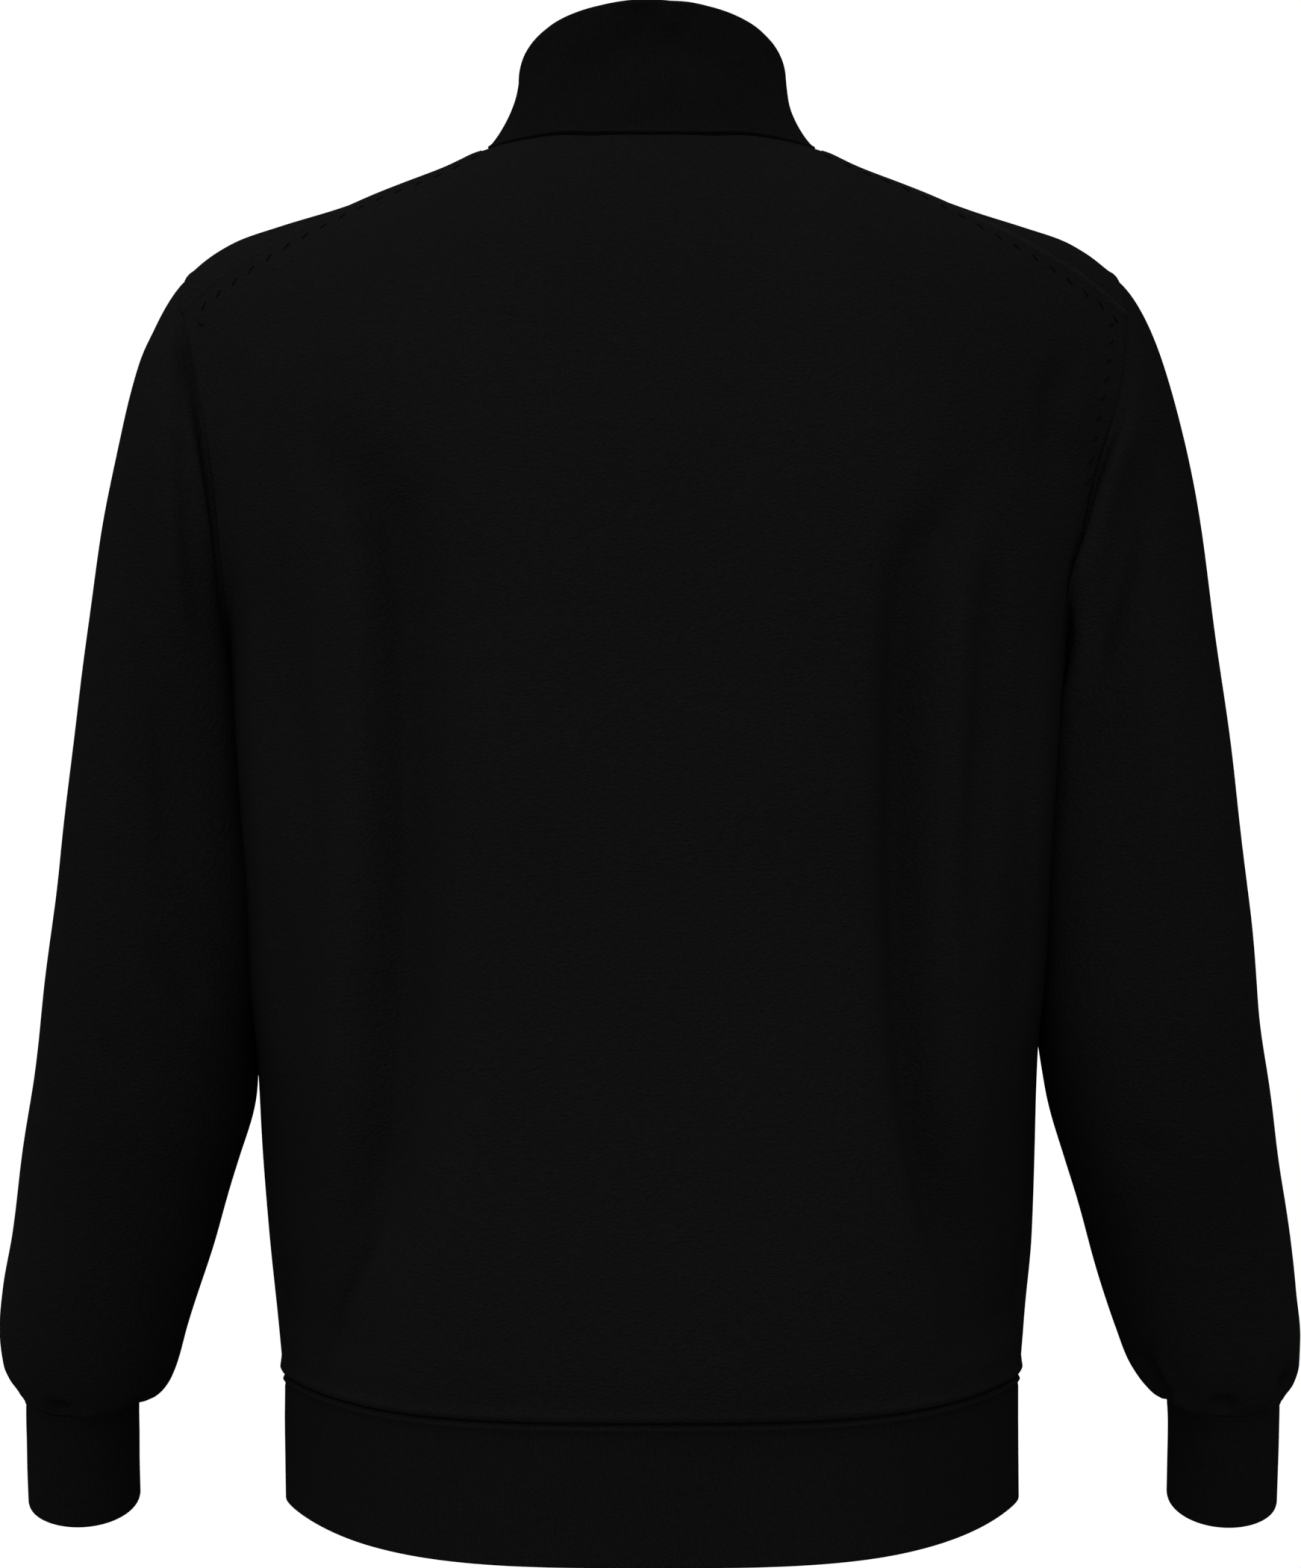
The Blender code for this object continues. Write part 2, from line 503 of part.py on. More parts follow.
def main():
    for obj in list(bpy.data.objects):
        bpy.data.objects.remove(obj, do_unlink=True)

    cols, low = top_places(), low_places()
    angles = seam_angles()
    back, front = panel(1), panel(-1)
    for face, p in ((1, back), (-1, front)):
        n = normals(p, False) * face
        push = fold_push(face, p[..., 0], p[..., 2])
        push[0] = push[-1] = 0
        push[:, 0] = push[:, -1] = 0
        p -= np.where((n[..., 1] * face > 0)[..., None], n, -n) * push[..., None]

    # the hem band takes both panels' lower edges as its upper one
    around = lambda table, z: np.concatenate([ring(table, 1, low, z), ring(table, -1, low, z)[-2:0:-1]])
    hem = np.array([around(HEM, z) for z in HEM["z"]])
    hem[0] = np.concatenate([back[0], front[0][-2:0:-1]])
    neck = collar(cols)
    sleeves = {side: sleeve(side, angles) for side in (1, -1)}
    for side, p in sleeves.items():
        n = normals(p, True)
        mid = p.mean(axis=1, keepdims=True)
        n = np.where((np.sum(n * (p - mid), -1) > 0)[..., None], n, -n)
        push = sleeve_creases(side, angles[None, :], p[..., 2])
        push[0] = push[-1] = 0
        p -= n * push[..., None]
    cuffs = {side: cuff(side, angles) for side in (1, -1)}
    for side in (1, -1):
        sleeves[side][-1] = cuffs[side][0]

    # outward normals, shared by the two edges of each seam
    def out(p, closed, centre):
        n = normals(p, closed)
        return n if np.sum(n * (p - centre)) > 0 else -n
    nb = out(back, False, np.array([0, 0, -300.0]))
    nf = out(front, False, np.array([0, 0, -300.0]))
    nh = out(hem, True, np.array([0, 0, -630.0]))
    nc = out(neck, True, neck.mean(axis=(0, 1)))
    ns = {s: out(sleeves[s], True, sleeves[s].mean(axis=1, keepdims=True)) for s in (1, -1)}
    nk = {s: out(cuffs[s], True, cuffs[s].mean(axis=1, keepdims=True)) for s in (1, -1)}

    last = len(cols) - 1
    inside = np.where(np.abs(cols) <= NECK_ACROSS + 1e-9)[0]

    def share(*edges):
        """Give the vectors at one seam point their common direction."""
        total = unit(sum(arr[idx] for arr, idx in edges))
        for arr, idx in edges:
            arr[idx] = total / max(float(np.dot(total, arr[idx])), 0.62)

    seams = {}
    def sew(key, arr, idx):
        seams.setdefault(key, []).append((arr, idx))
    for c in range(len(cols)):
        sew(("hem", c), nb, (0, c))
        sew(("hem", c if c in (0, last) else c + 1000), nf, (0, c))
        sew(("hem", c), nh, (0, c))
    for i, c in enumerate(range(last - 1, 0, -1)):
        sew(("hem", c + 1000), nh, (0, last + 1 + i))
    for r in range(1, BODY_ROWS):
        for c in (0, last):
            sew(("side", r, c), nb, (r, c))
            sew(("side", r, c), nf, (r, c))
    top = BODY_ROWS + YOKE_ROWS
    for c in range(len(cols)):
        if c not in inside or c in (inside[0], inside[-1]):
            if c in (0, last):
                continue
            sew(("shoulder", c), nb, (top, c))
            sew(("shoulder", c), nf, (top, c))
    for i, c in enumerate(inside):
        key = ("shoulder", c) if c in (inside[0], inside[-1]) else ("neck", c)
        if key[0] == "neck":
            sew(key, nb, (top, c))
            sew(("neck", c + 1000), nf, (top, c))
        sew(key, nc, (0, i))
    for i, c in enumerate(inside[-2:0:-1]):
        sew(("neck", c + 1000), nc, (0, len(inside) + i))
    for s in (1, -1):
        for k in range(len(angles)):
            sew(("cuff", s, k), ns[s], (sleeves[s].shape[0] - 1, k))
            sew(("cuff", s, k), nk[s], (0, k))
    for edges in seams.values():
        share(*edges)

    # the armhole seam is a deep crease under the arm and nearly flat on top:
    # both walls end on the plane that halves the angle between them
    for s, c, beside in ((1, last, last - 1), (-1, 0, 1)):
        loop = sleeves[s][0]
        count = len(angles)
        for k in range(count):
            run = unit(loop[(k + 1) % count] - loop[k - 1])
            r = BODY_ROWS + (k if k <= YOKE_ROWS else count - k)
            owners = [nb, nf] if k in (0, YOKE_ROWS) else [nb if k < YOKE_ROWS else nf]
            p = front if k > YOKE_ROWS else back
            body = unit(sum(n[r, c] for n in owners))
            arm = unit(ns[s][0, k])
            lead_body = unit(p[r, beside] - p[r, c]) + unit(p[r - 1, c] - p[r, c])
            lead_arm = sleeves[s][1, k] - loop[k]
            way_body = unit(np.cross(body, run))
            way_arm = unit(np.cross(arm, run))
            way_body = way_body if np.dot(way_body, lead_body) > 0 else -way_body
            way_arm = way_arm if np.dot(way_arm, lead_arm) > 0 else -way_arm
            normal, way = body + arm, way_body + way_arm
            hollow = np.dot(body, arm) < -0.4 or np.dot(normal, way) > 0
            shared = unit(normal + way if hollow else normal - way)
            for n in owners:
                n[r, c] = shared / max(float(np.dot(shared, unit(n[r, c]))), 0.6)
            ns[s][0, k] = shared / max(float(np.dot(shared, arm)), 0.6)

    jersey = (0.012, 0.012, 0.0125, 1.0)
    rib = (0.010, 0.010, 0.0105, 1.0)
    wall("back", pull_back(back, False), -nb * JERSEY_WALL, False, jersey, 0.95)
    wall("front", pull_back(front, False), -nf * JERSEY_WALL, False, jersey, 0.95)
    wall("hem_band", pull_back(hem, True), -nh * RIB_WALL, True, rib, 0.95)
    wall("collar", pull_back(neck, True, 0.4), -nc * COLLAR_WALL, True, rib, 0.95)
    for s, label in ((1, "left"), (-1, "right")):
        wall("sleeve_" + label, pull_back(sleeves[s], True), -ns[s] * JERSEY_WALL, True, jersey, 0.95)
        wall("cuff_" + label, pull_back(cuffs[s], True), -nk[s] * RIB_WALL, True, rib, 0.95)


main()
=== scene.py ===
"""Looks of the golf sweater: every panel as a fine cloth shell on the form of
its solid, with its folds, seams, knit and rib, in plain soft studio light.

The wearer looks towards -Y, +Z is up and the wearer's left is +X.  Sizes in
the tables are millimetres, and places are garment places in the row frame.
"""

import math

import bpy
import numpy as np
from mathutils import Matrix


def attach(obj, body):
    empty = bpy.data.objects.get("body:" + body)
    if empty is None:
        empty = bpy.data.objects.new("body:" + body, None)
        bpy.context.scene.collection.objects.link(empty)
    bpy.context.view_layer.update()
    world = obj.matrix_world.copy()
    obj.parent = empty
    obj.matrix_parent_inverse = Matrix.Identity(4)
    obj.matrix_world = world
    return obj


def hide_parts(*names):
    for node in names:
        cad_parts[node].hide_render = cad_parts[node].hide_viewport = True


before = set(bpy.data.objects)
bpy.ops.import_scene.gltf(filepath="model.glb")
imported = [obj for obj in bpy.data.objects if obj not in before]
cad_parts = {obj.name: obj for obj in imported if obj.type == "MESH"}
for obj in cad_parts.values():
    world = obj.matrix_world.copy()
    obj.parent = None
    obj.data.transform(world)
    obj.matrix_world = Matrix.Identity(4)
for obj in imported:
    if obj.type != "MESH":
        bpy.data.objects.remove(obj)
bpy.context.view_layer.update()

MM = 0.001

# ---------------------------------------------------------------- the cut
JERSEY_WALL = 1.5
RIB_WALL = 2.0
COLLAR_WALL = 2.8
SEAM_GAP = 0.25
SLEEVE_CLEAR = 0.5

CHEST_Z = -275.0
HEM_SEAM_Z = -598.0
CAP_Z = -300.0
CUFF_SEAM_Z = -618.0

BODY = dict(
    z=          [-598, -582, -566, -530, -484, -437, -416, -365, -320, -275],
    half_left=  [180.0, 181.4, 183.1, 186.8, 190.3, 192.4, 193.6, 196.2, 199.0, 201.5],
    half_right= [179.8, 181.2, 182.5, 185.8, 187.2, 187.8, 189.0, 192.2, 195.2, 198.2],
    back=       [116.0, 120.5, 122.5, 124.5, 124.5, 123.0, 122.5, 122.0, 124.0, 126.0],
    front=      [108.0, 112.0, 114.0, 116.5, 117.0, 116.0, 115.5, 115.0, 116.5, 118.0],
)
HEM = dict(
    z=          [-598, -604, -628, -659],
    half_left=  [180.0, 179.2, 179.0, 178.8],
    half_right= [179.8, 179.3, 179.4, 179.5],
    back=       [116.0, 116.0, 121.8, 130.5],
    front=      [108.0, 107.8, 109.8, 112.0],
)
SQUARE = 2.65
SIDE_ROUND = dict(           # how much rounder a section turns at its sides
    z=     [-659, -598, -520, -440, -350, -275],
    round= [1.15, 1.15, 1.0, 0.78, 0.50, 0.35],
)

RIDGE = dict(
    x=    [-40, 0, 40, 82, 98, 116, 153, 180, 199, 212, 221, 226, 240],
    z=    [12.0, 19.0, 12.0, -5.4, -12.8, -19.4, -32.0, -38.8, -44.2, -50.8, -57.4, -62.0, -82.0],
    y=    [3.0, 3.0, 3.0, 2.0, 1.0, 0.0, -3.0, -5.0, -6.5, -7.4, -8.0, -8.0, -8.0],
)
YOKE = dict(
    rise=        [0.0, 0.05, 0.12, 0.22, 0.376, 0.48, 0.587, 0.68, 0.746, 0.859, 0.934, 1.0],
    back_left=   [200.0, 200.0, 200.2, 200.8, 203.4, 206.0, 209.5, 213.5, 216.5, 222.6, 226.2, 226.0],
    back_right=  [200.0, 200.0, 200.2, 201.0, 204.6, 209.0, 215.6, 221.0, 223.6, 226.2, 227.0, 226.0],
    front=       [200.0, 199.0, 197.5, 196.0, 196.5, 199.3, 203.0, 208.2, 212.0, 220.5, 225.6, 226.0],
    edge_back=   [0.0, 0.13, 0.25, 0.36, 0.445, 0.472, 0.495, 0.50, 0.50, 0.50, 0.50, 0.50],
    edge_front=  [0.0, 0.16, 0.30, 0.42, 0.51, 0.535, 0.55, 0.552, 0.55, 0.53, 0.52, 0.52],
    cut=         [1.0, 0.985, 0.96, 0.93, 0.905, 0.895, 0.89, 0.885, 0.88, 0.88, 0.88, 0.88],
)
YOKE_SQUARE_BACK = 2.6
YOKE_SQUARE_FRONT = 2.4

SHOULDER_SEAM = dict(
    across= [0.358, 0.45, 0.55, 0.64, 0.72, 0.82, 0.88, 0.94, 1.0],
    up=     [0.912, 0.911, 0.905, 0.868, 0.822, 0.770, 0.742, 0.728, 0.722],
)
NECK_ACROSS = 0.358
NECK = dict(
    across= [-0.30, 0.0, 0.30, 0.50, 0.70, 0.84, 0.92, 0.97, 0.993, 1.0],
    back=   [0.755, 0.738, 0.755, 0.783, 0.818, 0.853, 0.878, 0.897, 0.908, 0.912],
    front=  [0.545, 0.538, 0.545, 0.565, 0.612, 0.680, 0.752, 0.845, 0.955, 1.088],
)
COLLAR_TOP = dict(half=65.4, x_mid=-0.3, back=72.0, front=-80.0, z_mid=33.4, slope=0.29, square=2.2)

SLEEVE = dict(
    z=           [-300, -330, -365, -400, -430, -462, -495, -530, -560, -585, -599, -607, -613, -616.5, -618],
    inner_left=  [196.5, 193.5, 191.0, 190.5, 192.5, 195.6, 204.6, 215.6, 225.8, 234.0, 238.4, 241.6, 245.0, 249.0, 257.5],
    inner_right= [192.0, 189.0, 187.5, 187.5, 189.5, 194.4, 204.3, 216.0, 226.2, 234.8, 240.2, 244.9, 249.6, 253.6, 261.0],
    outer_left=  [279.9, 283.6, 288.0, 293.2, 298.4, 304.6, 311.4, 318.4, 324.4, 327.0, 326.4, 324.6, 321.6, 318.6, 315.0],
    outer_right= [279.9, 283.6, 288.0, 293.0, 297.6, 303.8, 310.6, 317.4, 323.0, 326.3, 326.4, 324.8, 321.6, 319.0, 316.4],
    y_mid=       [2.0, 3.0, 3.0, 1.0, -3.0, -10.0, -20.0, -30.0, -39.0, -46.0, -50.0, -52.3, -54.0, -55.0, -55.5],
    half_depth=  [72.0, 70.0, 67.0, 63.0, 59.5, 55.5, 53.0, 50.5, 48.5, 46.5, 43.6, 41.0, 37.5, 33.5, 29.5],
    lean=        [0.0, 1.0, 2.0, 5.0, 9.0, 13.0, 15.0, 16.0, 16.0, 15.0, 14.0, 13.0, 12.0, 12.0, 12.0],
    square=      [2.7, 2.7, 2.6, 2.45, 2.3, 2.15, 2.1, 2.1, 2.1, 2.1, 2.05, 2.0, 2.0, 2.0, 2.0],
)
# beside the body the tube lies flat against it and its section runs inward
SLEEVE_INSIDE = dict(
    z=      [-300, -365, -400, -430, -470, -520],
    square= [8.0, 6.0, 4.2, 2.9, 2.2, 2.1],
    taper=  [0.30, 0.30, 0.26, 0.14, 0.03, 0.0],
    back=   [0.86, 0.88, 0.92, 0.95, 1.0, 1.0],
)
CUFF = dict(
    z=        [-618, -624, -640, -658, -675.5],
    mid_left= [288.3, 288.9, 289.3, 290.1, 290.6],
    mid_right=[289.8, 290.3, 291.0, 291.6, 292.2],
    half=     [29.0, 28.3, 28.2, 28.2, 28.2],
    y_mid=    [-55.5, -57.0, -61.0, -66.3, -71.7],
    lean=     [12.0, 13.5, 16.0, 18.5, 20.0],
)
# the sleeve sinks beside the armhole seam: by height, in mm, on the back
SEAM_SINK = dict(
    z=     [-300, -262, -232, -200, -170, -145, -125, -112, -101, -89],
    left=  [0.0, 0.6, 2.4, 4.6, 5.4, 5.0, 4.2, 4.0, 3.4, 0.0],
    right= [0.0, 0.0, 0.5, 1.2, 1.8, 1.6, 1.0, 0.6, 0.2, 0.0],
    front= [0.0, 1.0, 2.5, 3.5, 3.5, 3.0, 2.2, 1.4, 0.6, 0.0],
)

# ---------------------------------------------------------------- the folds
# Each fold runs through its points (x, z), on the back (face 1) or the front
# (face -1).  depth is how far it goes in, or out where negative; left and
# right are its half widths towards +X and -X; fade_top and fade_low are the
# shares of its length over which it dies away.
BODY_FOLDS = [
    # wearer's left main trough, and the thin crease it ends in at the band
    dict(face=1, path=[(160, -140), (143, -166), (125, -190), (117.5, -232), (117.5, -313), (120.5, -394), (125.5, -456), (135, -496), (148, -536), (157, -564), (163, -588)],
         depth=18.5, left=25.0, right=11.0, fade_top=0.15, fade_low=0.26),
    dict(face=1, path=[(134, -504), (142, -528), (149, -545), (156, -564), (160, -580), (162, -590)],
         depth=5.0, left=3.2, right=4.2, fade_top=0.35, fade_low=0.10),
    dict(face=1, path=[(124, -508), (132, -530), (140, -549), (148, -570)],
         depth=-2.8, left=6.0, right=9.0, fade_top=0.40, fade_low=0.30),
    # the back swells beside each sleeve and turns in sharply there
    dict(face=1, path=[(188, -205), (185, -245), (183.5, -300), (181.5, -360), (178, -420), (174, -475)],
         depth=-4.4, left=6.0, right=17.0, fade_top=0.30, fade_low=0.30),
    dict(face=1, path=[(-186, -205), (-183, -245), (-181.5, -300), (-180, -360), (-176.5, -420), (-172, -475)],
         depth=-4.4, left=17.0, right=6.0, fade_top=0.30, fade_low=0.30),
    # the back draws in over both sides low down
    dict(face=1, path=[(150, -430), (154, -490), (160, -540), (166, -580)],
         depth=6.5, left=26.0, right=34.0, fade_top=0.55, fade_low=0.10),
    dict(face=1, path=[(-152, -440), (-156, -495), (-162, -545), (-168, -580)],
         depth=6.0, left=30.0, right=26.0, fade_top=0.55, fade_low=0.10),
    # wearer's right main trough
    dict(face=1, path=[(-157, -140), (-146, -167), (-134, -190), (-120, -212), (-117, -252), (-117.2, -333), (-121.5, -415), (-126.5, -456), (-136, -497), (-149, -539), (-160, -568), (-167, -590)],
         depth=19.0, left=12.5, right=12.5, fade_top=0.32, fade_low=0.26),
    dict(face=1, path=[(-143, -192), (-141, -240), (-139, -290), (-138, -345), (-141, -420)],
         depth=-2.6, left=8.0, right=7.0, fade_top=0.25, fade_low=0.40),
    dict(face=1, path=[(-159, -180), (-157, -235), (-155, -285), (-152, -335), (-152, -410)],
         depth=6.5, left=7.0, right=9.0, fade_top=0.25, fade_low=0.40),
    dict(face=1, path=[(174, -178), (170, -240), (163, -300), (154, -352), (150, -410)],
         depth=4.2, left=10.0, right=12.0, fade_top=0.30, fade_low=0.45),
    dict(face=1, path=[(157, -262), (150, -320), (144, -380), (147, -450), (154, -520)],
         depth=-2.6, left=10.0, right=11.0, fade_top=0.35, fade_low=0.40),
    dict(face=1, path=[(-196, -96), (-192, -116), (-185, -138), (-187, -160), (-190, -178)],
         depth=4.0, left=9.0, right=6.5, fade_top=0.40, fade_low=0.40),
    dict(face=1, path=[(-203, -110), (-199, -136), (-196, -160)],
         depth=-1.6, left=5.0, right=5.0, fade_top=0.45, fade_low=0.40),
    dict(face=1, path=[(196, -104), (193, -130), (188, -158)],
         depth=1.8, left=8.0, right=12.0, fade_top=0.45, fade_low=0.45),
    dict(face=1, path=[(168, -118), (150, -150), (132, -176)],
         depth=1.6, left=16.0, right=16.0, fade_top=0.40, fade_low=0.45),
    # front, where nothing is seen: the same kind of fall
    dict(face=-1, path=[(156, -160), (134, -190), (116, -228), (110, -300), (112, -390), (120, -470), (134, -530), (148, -572)],
         depth=12.0, left=16.0, right=13.0, fade_top=0.20, fade_low=0.24),
    dict(face=-1, path=[(-152, -152), (-132, -186), (-117, -226), (-113, -310), (-114, -400), (-122, -480), (-137, -535), (-152, -572)],
         depth=13.5, left=13.0, right=14.5, fade_top=0.18, fade_low=0.22),
    dict(face=-1, path=[(150, -215), (146, -270), (148, -340), (152, -410)],
         depth=-2.2, left=10.0, right=10.0, fade_top=0.35, fade_low=0.45),
    dict(face=-1, path=[(-150, -205), (-146, -262), (-149, -330), (-154, -395)],
         depth=-2.4, left=10.0, right=9.0, fade_top=0.35, fade_low=0.45),
    dict(face=-1, path=[(172, -182), (168, -235), (162, -300)],
         depth=3.4, left=9.0, right=11.0, fade_top=0.35, fade_low=0.45),
    dict(face=-1, path=[(-174, -176), (-169, -232), (-163, -290)],
         depth=3.8, left=10.0, right=9.0, fade_top=0.35, fade_low=0.45),
]

# the same on the sleeves; the piece is told by the sign of x
SLEEVE_FOLDS = [
    # wearer's right, back: ridge beside the armhole, then a long trough
    dict(face=1, path=[(-228, -130), (-218, -156), (-208, -192), (-201, -222), (-198, -250)],
         depth=-6.0, left=6.5, right=7.0, fade_top=0.30, fade_low=0.35),
    dict(face=1, path=[(-208, -186), (-202, -214), (-197, -242), (-194, -270), (-193, -320)],
         depth=-4.2, left=7.0, right=7.0, fade_top=0.30, fade_low=0.40),
    dict(face=1, path=[(-244, -132), (-236, -158), (-229, -182), (-222, -205), (-215, -226), (-209, -250), (-206, -275)],
         depth=8.0, left=7.5, right=13.0, fade_top=0.35, fade_low=0.30),
    dict(face=1, path=[(-248, -205), (-242, -262), (-244, -330), (-252, -400)],
         depth=-2.2, left=14.0, right=14.0, fade_top=0.35, fade_low=0.40),
    dict(face=1, path=[(-246, -588), (-253, -602), (-259, -613), (-263, -622)],
         depth=-3.0, left=3.0, right=3.6, fade_top=0.30, fade_low=0.20),
    dict(face=1, path=[(-239, -586), (-246, -601), (-252, -612), (-257, -620)],
         depth=4.2, left=7.0, right=4.0, fade_top=0.40, fade_low=0.20),
    dict(face=1, path=[(-222, -470), (-236, -486), (-254, -496)],
         depth=1.6, left=7.0, right=8.0, fade_top=0.35, fade_low=0.45),
    # wearer's left, back: the long soft edge down from the shoulder corner,
    # and the broad trough that runs to the elbow
    dict(face=1, path=[(228.5, -88), (227.5, -112), (226, -140), (224, -186), (221, -226), (217, -262)],
         depth=-5.0, left=4.6, right=15.0, fade_top=0.12, fade_low=0.35),
    dict(face=1, path=[(246, -150), (243, -190), (238, -230), (230, -290), (222, -345), (216, -385)],
         depth=3.6, left=13.0, right=11.0, fade_top=0.30, fade_low=0.35),
    dict(face=1, path=[(238, -376), (229, -389), (218, -407), (209, -424)],
         depth=3.2, left=5.5, right=7.0, fade_top=0.40, fade_low=0.35),
    dict(face=1, path=[(268, -425), (252, -440), (232, -452)],
         depth=1.5, left=7.0, right=8.0, fade_top=0.40, fade_low=0.45),
    # fronts, with the bend of the elbow
    dict(face=-1, path=[(226, -120), (221, -155), (214, -195), (207, -238)],
         depth=-3.0, left=7.0, right=6.0, fade_top=0.25, fade_low=0.30),
    dict(face=-1, path=[(242, -140), (236, -190), (226, -245), (218, -290)],
         depth=4.2, left=13.0, right=9.0, fade_top=0.35, fade_low=0.35),
    dict(face=-1, path=[(212, -352), (234, -366), (258, -372), (278, -370)],
         depth=4.2, left=9.0, right=10.0, fade_top=0.25, fade_low=0.40),
    dict(face=-1, path=[(214, -396), (236, -404), (262, -404)],
         depth=2.6, left=8.0, right=8.0, fade_top=0.30, fade_low=0.45),
    dict(face=-1, path=[(-226, -118), (-220, -152), (-212, -190), (-205, -234)],
         depth=-3.2, left=6.0, right=7.0, fade_top=0.25, fade_low=0.30),
    dict(face=-1, path=[(-241, -138), (-234, -184), (-224, -240), (-216, -284)],
         depth=4.4, left=9.0, right=13.0, fade_top=0.35, fade_low=0.35),
    dict(face=-1, path=[(-210, -346), (-232, -362), (-256, -370), (-276, -366)],
         depth=4.0, left=9.0, right=10.0, fade_top=0.25, fade_low=0.40),
    dict(face=-1, path=[(-213, -388), (-238, -400), (-264, -398)],
         depth=2.8, left=8.0, right=8.0, fade_top=0.30, fade_low=0.45),
]

# dimples and short gathers where a sleeve meets its cuff: ring angle (0 inner,
# 90 back, 180 outer, 270 front), how far above the seam, half sizes and depth
CUFF_GATHERS = dict(
    side=    [1, 1, 1, 1, 1, 1, 1, 1, -1, -1, -1, -1, -1, -1, -1, -1],
    angle=   [103.0, 82.0, 152.0, 40.0, 218.0, 262.0, 306.0, 342.0, 32.0, 86.0, 60.0, 140.0, 204.0, 248.0, 292.0, 335.0],
    above=   [10.5, 10.0, 12.0, 12.0, 12.0, 11.0, 13.0, 11.0, 20.0, 14.0, 13.0, 18.0, 12.0, 13.0, 11.0, 13.0],
    wide=    [8.0, 7.0, 8.0, 9.0, 8.5, 7.0, 9.0, 7.5, 6.5, 10.0, 8.0, 9.0, 8.0, 7.0, 9.0, 7.0],
    tall=    [6.0, 4.5, 7.0, 6.0, 9.0, 7.0, 10.0, 7.0, 15.0, 7.5, 5.5, 10.0, 9.0, 8.0, 7.0, 9.0],
    depth=   [8.0, -2.6, 7.0, 4.0, 4.4, 4.8, 4.4, 3.6, 8.5, 8.0, -2.8, 7.5, 4.4, 4.8, 4.2, 4.2],
)


# ---------------------------------------------------------------- helpers
def smooth(xs, ys, at):
    """Value of a table's column at any point, without overshoot."""
    xs = np.asarray(xs, float)
    ys = np.asarray(ys, float)
    if xs[0] > xs[-1]:
        xs, ys = xs[::-1], ys[::-1]
    at = np.clip(np.asarray(at, float), xs[0], xs[-1])
    h = np.diff(xs)
    d = np.diff(ys) / h
    m = np.zeros_like(ys)
    if len(xs) > 2:
        w1 = 2 * h[1:] + h[:-1]
        w2 = h[1:] + 2 * h[:-1]
        same = d[:-1] * d[1:] > 0
        safe = np.where(same, d[:-1] * d[1:], 1.0)
        m[1:-1] = np.where(same, (w1 + w2) * safe / (w1 * d[1:] + w2 * d[:-1] + 1e-12 * ~same), 0.0)
    m[0], m[-1] = d[0], d[-1]
    i = np.clip(np.searchsorted(xs, at, side="right") - 1, 0, len(xs) - 2)
    t = (at - xs[i]) / h[i]
    return (ys[i] * (1 + 2 * t) * (1 - t) ** 2 + m[i] * h[i] * t * (1 - t) ** 2
            + ys[i + 1] * t * t * (3 - 2 * t) + m[i + 1] * h[i] * t * t * (t - 1))


def power(value, exponent):
    return np.sign(value) * np.abs(value) ** exponent


def step(lo, hi, value):
    t = np.clip((np.asarray(value, float) - lo) / (hi - lo), 0, 1)
    return t * t * (3 - 2 * t)


def unit(v):
    return v / (np.linalg.norm(v, axis=-1, keepdims=True) + 1e-12)


def normals(p, closed):
    across = np.roll(p, -1, 1) - np.roll(p, 1, 1) if closed else np.gradient(p, axis=1)
    return unit(np.cross(across, np.gradient(p, axis=0)))


def outward(p, closed, centre):
    n = normals(p, closed)
    return n if np.sum(n * (p - centre)) > 0 else -n


def spaced(count, near=(), width=0.01, strength=3.0):
    """Places from 0 to 1, closer together near some of them."""
    t = np.linspace(0, 1, 4001)
    density = np.ones_like(t)
    for place in near:
        density += strength * np.exp(-((t - place) / width) ** 2)
    total = np.concatenate([[0], np.cumsum((density[1:] + density[:-1]) / 2)])
    return np.interp(np.linspace(0, total[-1], count), total, t)


def along_path(path, x, z):
    """Signed distance from a smooth path through points, + towards its right
    hand as it goes down, and the share of the way along it."""
    pts = np.array(path, float)
    run = np.concatenate([[0], np.cumsum(np.linalg.norm(np.diff(pts, axis=0), axis=1))])
    t = np.linspace(0, run[-1], 40)
    line = np.stack([smooth(run, pts[:, 0], t), smooth(run, pts[:, 1], t)], 1)
    best = np.full(x.shape, 1e9)
    signed = np.zeros(x.shape)
    share = np.zeros(x.shape)
    for i in range(len(line) - 1):
        a, b = line[i], line[i + 1]
        d = b - a
        size = float(d @ d)
        u = ((x - a[0]) * d[0] + (z - a[1]) * d[1]) / size
        first, final = i == 0, i == len(line) - 2
        u = np.clip(u, 0.0, 1.0)
        ex, ez = x - a[0] - u * d[0], z - a[1] - u * d[1]
        dist = np.hypot(ex, ez)
        side = np.sign(ex * d[1] - ez * d[0])
        near = dist < best
        best = np.where(near, dist, best)
        signed = np.where(near, dist * side, signed)
        share = np.where(near, (t[i] + u * (t[i + 1] - t[i])) / run[-1], share)
    return signed, share


